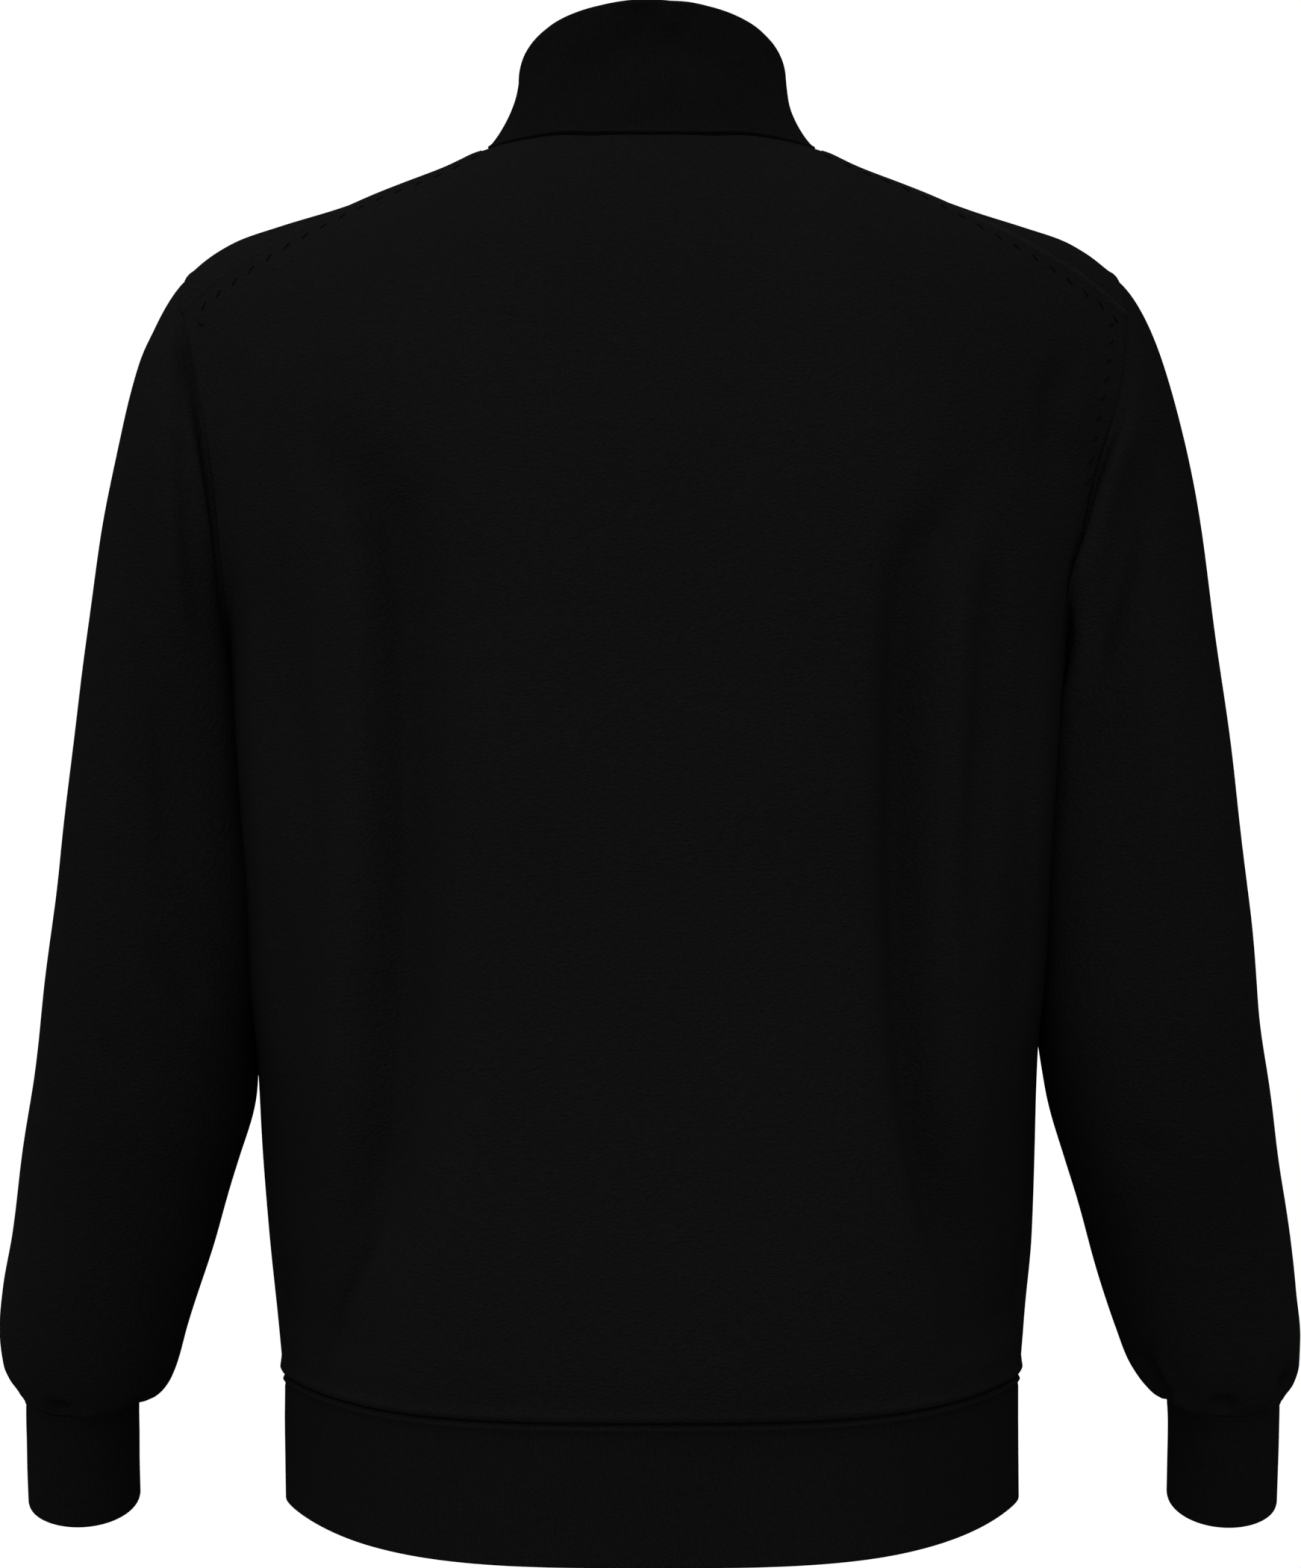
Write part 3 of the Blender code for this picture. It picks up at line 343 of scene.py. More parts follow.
def fold_depth(folds, p, n):
    """How far the folds push a surface in."""
    x, z = p[..., 0], p[..., 2]
    push = np.zeros(x.shape)
    for f in folds:
        pts = np.array(f["path"], float)
        reach = 3.2 * max(f["left"], f["right"])
        lo, hi = pts.min(0) - reach, pts.max(0) + reach
        facing = step(-0.05, 0.35, n[..., 1] * f["face"])
        use = (x > lo[0]) & (x < hi[0]) & (z > lo[1]) & (z < hi[1]) & (facing > 0)
        if not use.any():
            continue
        d, t = along_path(f["path"], x[use], z[use])
        # d > 0 lies towards +X of a fold that runs down
        width = np.where(d > 0, f["left"], f["right"])
        fade = step(0, f["fade_top"], t) * step(0, f["fade_low"], 1 - t)
        push[use] += f["depth"] * fade * np.exp(-(d / width) ** 2) * facing[use]
    return push


def ripple(p, seed, size, amount):
    """Slow unevenness of hanging cloth, from a few waves."""
    rng = np.random.default_rng(seed)
    total = np.zeros(p.shape[:-1])
    for _ in range(7):
        k = rng.normal(size=3) * np.array([1.0, 1.0, 0.55])
        k = k / np.linalg.norm(k) * 2 * math.pi / (size * rng.uniform(0.7, 1.6))
        total += np.sin(p @ k + rng.uniform(0, 6.3))
    return total * amount / 2.6


# ---------------------------------------------------------------- body
def arc(s, turn):
    n = SQUARE - turn * np.asarray(s, float) ** 2
    return np.clip(1 - np.abs(s) ** n, 0, 1) ** (1 / n)


def side_turn(z):
    return smooth(SIDE_ROUND["z"], SIDE_ROUND["round"], z)


def ring(table, face, s, z):
    s, z = np.broadcast_arrays(np.asarray(s, float), np.asarray(z, float))
    half = np.where(s > 0, smooth(table["z"], table["half_left"], z),
                    smooth(table["z"], table["half_right"], z))
    deep = smooth(table["z"], table["back" if face > 0 else "front"], z)
    return np.stack([half * s, face * deep * arc(s, side_turn(z)), z], -1)


def yoke(face, s, up):
    s, up = np.broadcast_arrays(np.asarray(s, float), np.asarray(up, float))
    here = np.where(up > 1, -face, face)
    phi = math.pi / 2 * np.clip(np.where(up > 1, 2 - up, up), 0, 1) ** 1.25
    m = np.where(here > 0, YOKE_SQUARE_BACK, YOKE_SQUARE_FRONT)
    rise = np.sin(phi) ** (2 / m)
    deep = np.clip(np.cos(phi), 0, 1) ** (2 / m)
    back = np.where(s > 0, smooth(YOKE["rise"], YOKE["back_left"], rise),
                    smooth(YOKE["rise"], YOKE["back_right"], rise))
    width = np.where(here > 0, back, smooth(YOKE["rise"], YOKE["front"], rise))
    edge = np.where(here > 0, smooth(YOKE["rise"], YOKE["edge_back"], rise),
                    smooth(YOKE["rise"], YOKE["edge_front"], rise))
    chest = np.where(here > 0, BODY["back"][-1], BODY["front"][-1])
    half = np.where(s > 0, BODY["half_left"][-1], BODY["half_right"][-1]) / 200.0
    x = s * width * (1 + (half - 1) * (1 - rise))
    top = smooth(RIDGE["x"], RIDGE["z"], np.abs(x))
    z = CHEST_Z + (top - CHEST_Z) * rise
    cut = smooth(YOKE["rise"], YOKE["cut"], rise)
    turn = SIDE_ROUND["round"][-1]
    bow = (arc(cut * s, turn) - arc(cut, turn)) / (1 - arc(cut, turn))
    y = smooth(RIDGE["x"], RIDGE["y"], np.abs(x)) * rise ** 2 + here * chest * deep * (edge + (1 - edge) * bow)
    return np.stack([x, y, z], -1)


NECK_SHARE = 0.5          # columns that end at the neckline


def low_places(q):
    return np.sign(q) * np.clip(np.sin(np.abs(q) * math.pi / 2), 0, 1) ** (2 / 2.25)


def top_places(q):
    a = np.abs(q) / NECK_SHARE
    neck = NECK_ACROSS * np.sin(np.clip(a, 0, 1) * math.pi / 2) ** 0.85
    side = NECK_ACROSS + (1 - NECK_ACROSS) * np.clip(a - 1, 0, 1)
    # meet at the neck point without a kink in the spacing
    return np.sign(q) * np.where(a <= 1, neck, side)


def top_edge(face, s):
    a = np.abs(s)
    seam = smooth(SHOULDER_SEAM["across"], SHOULDER_SEAM["up"], a)
    seam = seam if face > 0 else 2 - seam
    neck = smooth(NECK["across"], NECK["back" if face > 0 else "front"], a / NECK_ACROSS)
    return np.where(a < NECK_ACROSS - 1e-9, neck, seam)


def relax(p, height, reach, times, keep):
    """Even out a grid's rows round one height, leaving its kept columns."""
    for _ in range(times):
        near = np.exp(-((p[1:-1, :, 2] - height) / reach) ** 2) * keep
        p[1:-1] += near[..., None] * ((p[:-2] + p[2:]) / 2 - p[1:-1]) * 0.9
    return p


PANEL_COLS = 99           # columns from the centre line to the side, each way
PANEL_LOW = 92            # rows below the armhole
PANEL_HIGH = 96           # rows above it


def panel(face):
    q = spaced(2 * PANEL_COLS + 1, near=(0.0, 0.25, 0.75, 1.0), width=0.012, strength=1.5) * 2 - 1
    q[PANEL_COLS] = 0.0
    low, top = low_places(q), top_places(q)
    low[0], low[-1], top[0], top[-1] = -1, 1, -1, 1
    down = spaced(PANEL_LOW + 1, near=(0.0,), width=0.012, strength=5.0)
    rows = [ring(BODY, face, low, z) for z in (HEM_SEAM_Z + (CHEST_Z - HEM_SEAM_Z) * down)[:-1]]
    for u in spaced(PANEL_HIGH + 1, near=(1.0,), width=0.012, strength=5.0):
        s = low + (top - low) * u * u * (3 - 2 * u)
        rows.append(yoke(face, s, u * top_edge(face, top)))
    inner = step(0, 0.10, 1 - np.abs(q))[None, :]
    return relax(np.array(rows), CHEST_Z + 6, 34.0, 160, inner), q


# ---------------------------------------------------------------- sleeve
def armhole(side, angle):
    up = (np.where(angle <= 180, angle, 360 - angle) / 180.0) ** 0.8
    return np.where((angle <= 180)[..., None], yoke(1, side, up), yoke(-1, side, up))


def tube(side, z, angle):
    z, angle = np.broadcast_arrays(np.asarray(z, float), np.asarray(angle, float))
    get = lambda name: smooth(SLEEVE["z"], SLEEVE[name], z)
    inner = get("inner_left" if side > 0 else "inner_right")
    outer = get("outer_left" if side > 0 else "outer_right")
    mid, half = (inner + outer) / 2, (outer - inner) / 2
    a = np.radians(angle)
    side_in = lambda name: smooth(SLEEVE_INSIDE["z"], SLEEVE_INSIDE[name], z)
    m = np.where(np.cos(a) > 0, side_in("square"), get("square"))
    far = (np.abs(np.cos(a)) ** m + np.abs(np.sin(a)) ** m) ** (-1 / m)
    out = -half * np.cos(a) * far
    near = np.clip(np.cos(a) * far, 0, 1)
    back = get("half_depth") * np.sin(a) * far * (1 - side_in("taper") * 1.3 * near ** 2 / (near + 0.3))
    back = np.where(back > 0, back * side_in("back"), back)
    lean = np.radians(get("lean"))
    return np.stack([side * (mid + out), get("y_mid") + back * np.cos(lean),
                     z - back * np.sin(lean)], -1)


def cap(side, v, angle):
    v, angle = np.broadcast_arrays(np.asarray(v, float), np.asarray(angle, float))
    a = np.radians(angle)
    top = np.clip(-np.cos(a), 0, 1) ** 2
    under = np.clip(np.cos(a), 0, 1) ** 2
    flank = np.sin(a) ** 2
    face = np.sign(np.sin(a))
    leave = (top[..., None] * np.array([112.0, 0, -112.0])
             + under[..., None] * np.array([22.0, 0, -16.0])
             + flank[..., None] * np.stack([44.0 + 0 * a, 20.0 * face, -76.0 + 0 * a], -1))
    corner = 2 * np.clip(np.cos(a), 0, 1) * np.abs(np.sin(a))
    leave = leave + corner[..., None] * np.stack([-16.0 + 0 * a, 30.0 * face, 0 * a], -1)
    leave = leave * np.array([side, 1, 1])
    reach = 240.0 * top + 26.0 * under + 112.0 * flank
    start = armhole(side, angle)
    end = tube(side, CAP_Z, angle)
    arrive = (tube(side, CAP_Z - 6, angle) - end) / 6 * reach[..., None]
    t = v[..., None]
    return (start * (1 + 2 * t) * (1 - t) ** 2 + leave * t * (1 - t) ** 2
            + end * t * t * (3 - 2 * t) + arrive * t * t * (t - 1))


def keep_clear(side, p, clear):
    x, y, z = side * p[..., 0], p[..., 1], p[..., 2]
    zz = np.clip(z, HEM_SEAM_Z, CHEST_Z)
    half = smooth(BODY["z"], BODY["half_left" if side > 0 else "half_right"], zz)
    deep = np.where(y > 0, smooth(BODY["z"], BODY["back"], zz), smooth(BODY["z"], BODY["front"], zz))
    share, turn = np.clip(np.abs(y / deep), 0, 1), side_turn(zz)
    lo, hi = np.zeros_like(x), np.ones_like(x)
    for _ in range(26):
        mid = (lo + hi) / 2
        beyond = arc(mid, turn) < share
        lo, hi = np.where(beyond, lo, mid), np.where(beyond, mid, hi)
    wall = half * (lo + hi) / 2 + clear
    soft = 0.5
    over = (x - wall) / soft
    pushed = wall + soft * np.where(over > 30, over, np.log1p(np.exp(np.minimum(over, 30))))
    use = np.clip((CHEST_Z - 1.0 - z) / 8.0, 0, 1)
    x = x + (np.maximum(pushed, x) - x) * use
    return np.stack([side * x, y, z], -1)


SLEEVE_COLS = 168
SLEEVE_CAP = 66
SLEEVE_LOW = 118


def gather_depth(side, angle, above):
    """Dimples above the cuff seam."""
    push = np.zeros(np.broadcast(angle, above).shape)
    for i, which in enumerate(CUFF_GATHERS["side"]):
        if which != side:
            continue
        off = (angle - CUFF_GATHERS["angle"][i] + 180) % 360 - 180
        high = (above - CUFF_GATHERS["above"][i]) / CUFF_GATHERS["tall"][i]
        push += CUFF_GATHERS["depth"][i] * np.exp(-(off / CUFF_GATHERS["wide"][i]) ** 2 - high ** 2)
    return push


def sleeve(side):
    angle = np.arange(SLEEVE_COLS) / SLEEVE_COLS * 360.0
    # an even spread round the tube, which is flatter than a circle
    v = spaced(SLEEVE_CAP + 1, near=(0.0,), width=0.02, strength=4.0)[:-1]
    down = spaced(SLEEVE_LOW + 1, near=(1.0,), width=0.09, strength=2.2)
    zs = CAP_Z + (CUFF_SEAM_Z - CAP_Z) * down
    p = np.array([cap(side, t, angle) for t in v] + [tube(side, z, angle) for z in zs])
    rows = len(v) + 6
    p[3:rows + 20] = relax(p[3:rows + 20].copy(), CAP_Z, 22.0, 60, 1.0)
    out = keep_clear(side, p, SLEEVE_CLEAR)
    out[0] = p[0]
    return out, angle, zs


def cuff(side, count, rows):
    t = spaced(rows, near=(0.0,), width=0.05, strength=3.0)
    angle = np.radians(np.arange(count) / count * 360.0)
    grid = []
    for z in CUFF["z"][0] + (CUFF["z"][-1] - CUFF["z"][0]) * t:
        get = lambda name: float(smooth(CUFF["z"], CUFF[name], z))
        lean = math.radians(get("lean"))
        out, back = -get("half") * np.cos(angle), get("half") * np.sin(angle)
        grid.append(np.stack([side * (get("mid_left" if side > 0 else "mid_right") + out),
                              get("y_mid") + back * math.cos(lean), z - back * math.sin(lean)], -1))
    return np.array(grid)


# ---------------------------------------------------------------- collar
def neckline(count):
    """Closed neckline, across the back from -X to +X and across the front
    back again, evenly spaced."""
    q = np.linspace(-NECK_ACROSS, NECK_ACROSS, 1201) * (1 - 1e-7)
    loop = np.concatenate([yoke(1, q, top_edge(1, q)), yoke(-1, q, top_edge(-1, q))[-2:0:-1]])
    loop = np.concatenate([loop, loop[:1]])
    run = np.concatenate([[0], np.cumsum(np.linalg.norm(np.diff(loop, axis=0), axis=1))])
    at = np.arange(count) / count * run[-1]
    return np.stack([np.interp(at, run, loop[:, k]) for k in range(3)], 1)


def collar(count, rows):
    base = neckline(count)
    for _ in range(6):
        base = base * 0.5 + (np.roll(base, 1, 0) + np.roll(base, -1, 0)) * 0.25
    top = COLLAR_TOP
    mid, deep = (top["back"] + top["front"]) / 2, (top["back"] - top["front"]) / 2
    low_mid = (base[:, 1].max() + base[:, 1].min()) / 2
    low_deep = (base[:, 1].max() - base[:, 1].min()) / 2
    a = np.arctan2(base[:, 0] / np.abs(base[:, 0]).max(), (base[:, 1] - low_mid) / low_deep)
    e = 2 / top["square"]
    x = top["x_mid"] + top["half"] * power(np.sin(a), e)
    y = mid + deep * power(np.cos(a), e)
    edge = np.stack([x, y, top["z_mid"] + top["slope"] * y], -1)
    inward = edge - base
    inward[:, 2] = 0
    inward /= np.linalg.norm(inward, axis=1)[:, None] + 1e-9
    high = (edge - base)[:, 2][:, None]
    leave = inward * 34.0 + np.array([0, 0, 1.0]) * high * 0.30
    arrive = np.array([0, 0, 1.0]) * high * 1.1
    t = spaced(rows, near=(0.0, 0.08), width=0.03, strength=4.0)[:, None, None]
    # fuller at the wearer's left, where the flare runs straight
    flare = np.clip(np.sin(a), 0, 1) ** 4 * 1.6 + np.clip(-np.sin(a), 0, 1) ** 4 * 0.2
    out = np.stack([flare * np.sign(np.sin(a)), 0 * flare, 0 * flare], -1)
    return (out * 3.1 * t * (1 - t) ** 2 * 2.2 + base * (1 + 2 * t) * (1 - t) ** 2 + leave * t * (1 - t) ** 2
            + edge * t * t * (3 - 2 * t) + arrive * t * t * (t - 1))


# ---------------------------------------------------------------- shells
RIM = 4                   # steps round a cut or folded edge


def heights(p, from_row=0):
    """Distance of each row from one edge, along the columns."""
    d = np.concatenate([np.zeros((1,) + p.shape[1:2]), np.cumsum(np.linalg.norm(np.diff(p, axis=0), axis=-1), axis=0)])
    return d if from_row == 0 else d[-1:] - d


def trim(p, closed, low, high, sides=0.0):
    """Shorten a grid at its edges by moving the last rows along the surface."""
    q = p.copy()

    def pull(rows, amount):
        d = np.concatenate([[np.zeros(rows.shape[1])], np.cumsum(np.linalg.norm(np.diff(rows, axis=0), axis=-1), axis=0)])
        out = rows.copy()
        total = d[-1]
        for c in range(rows.shape[1]):
            new = amount + d[:, c] * (1 - amount / total[c])
            for k in range(3):
                out[:, c, k] = np.interp(new, d[:, c], rows[:, c, k])
        return out
    reach = max(6, p.shape[0] // 6)
    if low:
        q[:reach] = pull(q[:reach], low)
    if high:
        q[-reach:] = pull(q[-reach:][::-1], high)[::-1]
    if sides and not closed:
        q = np.swapaxes(q, 0, 1).copy()
        reach = max(6, q.shape[0] // 8)
        q[:reach] = pull(q[:reach], sides)
        q[-reach:] = pull(q[-reach:][::-1], sides)[::-1]
        q = np.swapaxes(q, 0, 1).copy()
    return q


def make_mesh(name, points, faces, uvs=None, painted_light=None, face_uv=None):
    mesh = bpy.data.meshes.new(name)
    mesh.vertices.add(len(points))
    mesh.vertices.foreach_set("co", (np.asarray(points, float) * MM).astype(np.float32).ravel())
    faces = np.asarray(faces, np.int32)
    mesh.loops.add(faces.size)
    mesh.loops.foreach_set("vertex_index", faces.ravel())
    mesh.polygons.add(len(faces))
    mesh.polygons.foreach_set("loop_start", np.arange(0, faces.size, faces.shape[1], dtype=np.int32))
    mesh.polygons.foreach_set("loop_total", np.full(len(faces), faces.shape[1], np.int32))
    mesh.update(calc_edges=True)
    if face_uv is not None:
        layer = mesh.uv_layers.new(name="cloth")
        layer.data.foreach_set("uv", face_uv.astype(np.float32).ravel())
    # per-point factor of painted highlight and painted shade, multiplied into the cloth colour
    if painted_light is not None:
        attr = mesh.attributes.new("painted_light", "FLOAT", "POINT")
        attr.data.foreach_set("value", np.asarray(painted_light, np.float32).ravel())
    mesh.polygons.foreach_set("use_smooth", np.ones(len(faces), bool))
    mesh.validate()
    mesh.update()
    obj = bpy.data.objects.new(name, mesh)
    bpy.context.scene.collection.objects.link(obj)
    return obj


def rim_points(outer, inner, edge_way):
    """Rows of a turned edge, flat with round corners, from the outer wall to
    the inner one."""
    mid, arm = (outer + inner) / 2, (outer - inner) / 2
    half = np.linalg.norm(arm, axis=-1, keepdims=True)
    way = edge_way - arm * np.sum(edge_way * arm, -1, keepdims=True) / (half ** 2 + 1e-12)
    way = unit(way)
    return [mid + arm * math.copysign(abs(math.cos(a)) ** 0.6, math.cos(a)) + way * half * math.sin(a) ** 0.5
            for a in np.arange(1, RIM) / RIM * math.pi]


def even_back(p, total):
    """Places round each row of a collar, in real millimetres across the back
    and squeezed at the front so that every row comes to the same total."""
    closed = np.concatenate([p, p[:, :1]], 1)
    run = np.concatenate([np.zeros((len(p), 1)), np.cumsum(np.linalg.norm(np.diff(closed, axis=1), axis=-1), axis=1)], 1)
    cols = p.shape[1]
    middle = int(np.argmin(np.where(p[len(p) // 2, :, 1] > 0, np.abs(p[len(p) // 2, :, 0]), 1e9)))
    along = run - run[:, middle:middle + 1]
    length = run[:, -1:]
    far = along.copy()
    half = length / 2
    far = (far + half) % length - half
    size, way = np.abs(far), np.sign(far)
    knee = 70.0
    squeezed = knee + (size - knee) * (total / 2 - knee) / (half - knee)
    u = np.where(size < knee, size, squeezed) * way
    return u, middle


def tube_shell(name, outer, n, thick, painted_light, girth, u_rows=None):
    """Closed tube wall with half-round edges; rows go along the tube."""
    inner = outer - n * thick
    top = rim_points(outer[-1], inner[-1], outer[-1] - outer[-2])
    low = rim_points(outer[0], inner[0], outer[0] - outer[1])
    grid = np.concatenate([outer, np.array(top), inner[::-1], np.array(low)[::-1]])
    painted_light = np.concatenate([painted_light, np.repeat(painted_light[-1:], RIM - 1, 0), painted_light[::-1], np.repeat(painted_light[:1], RIM - 1, 0)])
    rows, cols = grid.shape[:2]
    length = np.concatenate([[0], np.cumsum(np.linalg.norm(np.diff(grid, axis=0), axis=-1).mean(1))])
    length = np.concatenate([length, [length[-1] + thick]])
    r, c = np.meshgrid(np.arange(rows), np.arange(cols), indexing="ij")
    r1, c1 = (r + 1) % rows, (c + 1) % cols
    faces = np.stack([r * cols + c, r * cols + c1, r1 * cols + c1, r1 * cols + c], -1).reshape(-1, 4)
    u0, u1 = c / cols * girth, (c + 1) / cols * girth
    if u_rows is not None:
        full = np.concatenate([u_rows, np.repeat(u_rows[-1:], RIM - 1, 0), u_rows[::-1], np.repeat(u_rows[:1], RIM - 1, 0)])
        full = np.concatenate([full, full[:1]])
        u0, u1, w0, w1 = full[r, c], full[r, c + 1], full[r + 1, c], full[r + 1, c + 1]
        wrap = lambda a: a + girth * np.round((u0 - a) / girth)
        u1, w0, w1 = wrap(u1), wrap(w0), wrap(w1)
    else:
        w0, w1 = u0, u1
    v0, v1 = length[r], length[r + 1]
    uv = np.stack([np.stack([u0, v0], -1), np.stack([u1, v0], -1), np.stack([w1, v1], -1), np.stack([w0, v1], -1)], 2) * MM
    a = grid[0, 0], grid[0, 1], grid[1, 0]
    if np.dot(np.cross(a[1] - a[0], a[2] - a[0]), n[0, 0]) < 0:
        faces = faces[:, ::-1]
        uv = uv[:, :, ::-1]
    return make_mesh(name, grid.reshape(-1, 3), faces, painted_light=painted_light.reshape(-1), face_uv=uv.reshape(-1, 4, 2))


def panel_shell(name, outer, n, thick, painted_light):
    """Open panel wall with half-round edges all round."""
    rows, cols = outer.shape[:2]
    inner = outer - n * thick
    count = rows * cols
    idx = np.arange(count).reshape(rows, cols)
    r, c = np.meshgrid(np.arange(rows - 1), np.arange(cols - 1), indexing="ij")
    quad = np.stack([idx[r, c], idx[r, c + 1], idx[r + 1, c + 1], idx[r + 1, c]], -1).reshape(-1, 4)
    a = outer[0, 0], outer[0, 1], outer[1, 0]
    flip = np.dot(np.cross(a[1] - a[0], a[2] - a[0]), n[0, 0]) < 0
    outer_faces = quad[:, ::-1] if flip else quad
    inner_faces = (quad if flip else quad[:, ::-1]) + count
    loop = np.concatenate([idx[0, :-1], idx[:-1, -1], idx[-1, :0:-1], idx[:0:-1, 0]])
    way = np.zeros_like(outer)
    way[0] += unit(outer[0] - outer[1])
    way[-1] += unit(outer[-1] - outer[-2])
    way[:, 0] += unit(outer[:, 0] - outer[:, 1])
    way[:, -1] += unit(outer[:, -1] - outer[:, -2])
    flat_o, flat_i, flat_w = outer.reshape(-1, 3), inner.reshape(-1, 3), way.reshape(-1, 3)
    strips = rim_points(flat_o[loop], flat_i[loop], unit(flat_w[loop]))
    points = np.concatenate([flat_o, flat_i] + strips)
    size = len(loop)
    rings = [loop] + [2 * count + k * size + np.arange(size) for k in range(len(strips))] + [loop + count]
    rim_faces = []
    for lo, hi in zip(rings[:-1], rings[1:]):
        f = np.stack([lo, hi, np.roll(hi, -1), np.roll(lo, -1)], -1)
        rim_faces.append(f[:, ::-1] if flip else f)
    faces = np.concatenate([outer_faces, inner_faces] + rim_faces)
    t = painted_light.reshape(-1)
    painted_lights = np.concatenate([t, t] + [t[loop]] * len(strips))
    return make_mesh(name, points, faces, painted_light=painted_lights)


# ---------------------------------------------------------------- materials
def socket(shader, *names):
    for name in names:
        if name in shader.inputs:
            return shader.inputs[name]
    raise KeyError(names)


def node(tree, kind, **values):
    n = tree.nodes.new(kind)
    for key, value in values.items():
        if key in n.inputs:
            n.inputs[key].default_value = value
        else:
            setattr(n, key, value)
    return n


def math_node(tree, operation, a, b=None, clamp=False):
    n = tree.nodes.new("ShaderNodeMath")
    n.operation = operation
    n.use_clamp = clamp
    for i, v in enumerate((a, b)):
        if v is None:
            continue
        if hasattr(v, "is_output"):
            tree.links.new(v, n.inputs[i])
        else:
            n.inputs[i].default_value = v
    return n.outputs[0]


def remap(tree, value, from_lo, from_hi, to_lo, to_hi):
    n = tree.nodes.new("ShaderNodeMapRange")
    n.clamp = True
    tree.links.new(value, n.inputs["Value"])
    n.inputs["From Min"].default_value = from_lo
    n.inputs["From Max"].default_value = from_hi
    n.inputs["To Min"].default_value = to_lo
    n.inputs["To Max"].default_value = to_hi
    return n.outputs["Result"]


def noise(tree, vector, scale, detail=2.0, rough=0.5, distort=0.0):
    n = tree.nodes.new("ShaderNodeTexNoise")
    n.inputs["Scale"].default_value = scale
    n.inputs["Detail"].default_value = detail
    n.inputs["Roughness"].default_value = rough
    n.inputs["Distortion"].default_value = distort
    tree.links.new(vector, n.inputs["Vector"])
    return n.outputs["Fac"]


def stretched(tree, vector, scale):
    m = tree.nodes.new("ShaderNodeMapping")
    m.inputs["Scale"].default_value = scale
    tree.links.new(vector, m.inputs["Vector"])
    return m.outputs["Vector"]


def cloth_material(name, colour, rough, spec, sheen, sheen_rough):
    mat = bpy.data.materials.new(name)
    mat.use_nodes = True
    tree = mat.node_tree
    shader = tree.nodes["Principled BSDF"]
    shader.inputs["Metallic"].default_value = 0.0
    socket(shader, "Specular IOR Level").default_value = spec
    socket(shader, "Sheen Weight").default_value = sheen
    socket(shader, "Sheen Roughness").default_value = sheen_rough
    socket(shader, "Sheen Tint").default_value = (1.0, 1.0, 1.0, 1.0)
    return mat, tree, shader


def tinted(tree, factor, colour, shader):
    """Base colour as one colour times a factor."""
    mix = tree.nodes.new("ShaderNodeVectorMath")
    mix.operation = "SCALE"
    mix.inputs[0].default_value = colour
    tree.links.new(factor, mix.inputs["Scale"])
    tree.links.new(mix.outputs[0], shader.inputs["Base Color"])


def jersey_material(colour=(0.0100, 0.0100, 0.0101)):
    mat, tree, shader = cloth_material("fleece_jersey", colour, 0.95, 0.0, 0.004, 0.5)
    where = tree.nodes.new("ShaderNodeTexCoord").outputs["Object"]
    pebble = noise(tree, stretched(tree, where, (1.0, 1.0, 1.8)), 500.0, 1.5, 0.5, 0.25)
    fine = noise(tree, stretched(tree, where, (1.0, 1.0, 1.5)), 1500.0, 2.0, 0.6)
    mottle = noise(tree, where, 9.0, 3.0, 0.55)
    # painted highlight and painted shade from the mesh, multiplied into the colour
    painted_light = tree.nodes.new("ShaderNodeAttribute")
    painted_light.attribute_name = "painted_light"
    # random knit grain in the colour, tied to the bump's height so that its pits also carry painted shade
    grain_and_pit_shade = remap(tree, pebble, 0.30, 0.70, 0.90, 1.10)
    fuzz = remap(tree, fine, 0.30, 0.70, 0.93, 1.07)
    slow = remap(tree, mottle, 0.3, 0.7, 0.965, 1.035)
    factor = math_node(tree, "MULTIPLY", math_node(tree, "MULTIPLY", grain_and_pit_shade, fuzz),
                       math_node(tree, "MULTIPLY", slow, painted_light.outputs["Fac"]))
    tinted(tree, factor, colour, shader)
    rough = remap(tree, pebble, 0.3, 0.7, 0.98, 0.88)
    tree.links.new(rough, shader.inputs["Roughness"])
    height = math_node(tree, "ADD", pebble, math_node(tree, "MULTIPLY", fine, 0.18))
    bump = tree.nodes.new("ShaderNodeBump")
    bump.inputs["Strength"].default_value = 0.9
    bump.inputs["Distance"].default_value = 0.0015
    tree.links.new(height, bump.inputs["Height"])
    tree.links.new(bump.outputs["Normal"], shader.inputs["Normal"])
    return mat


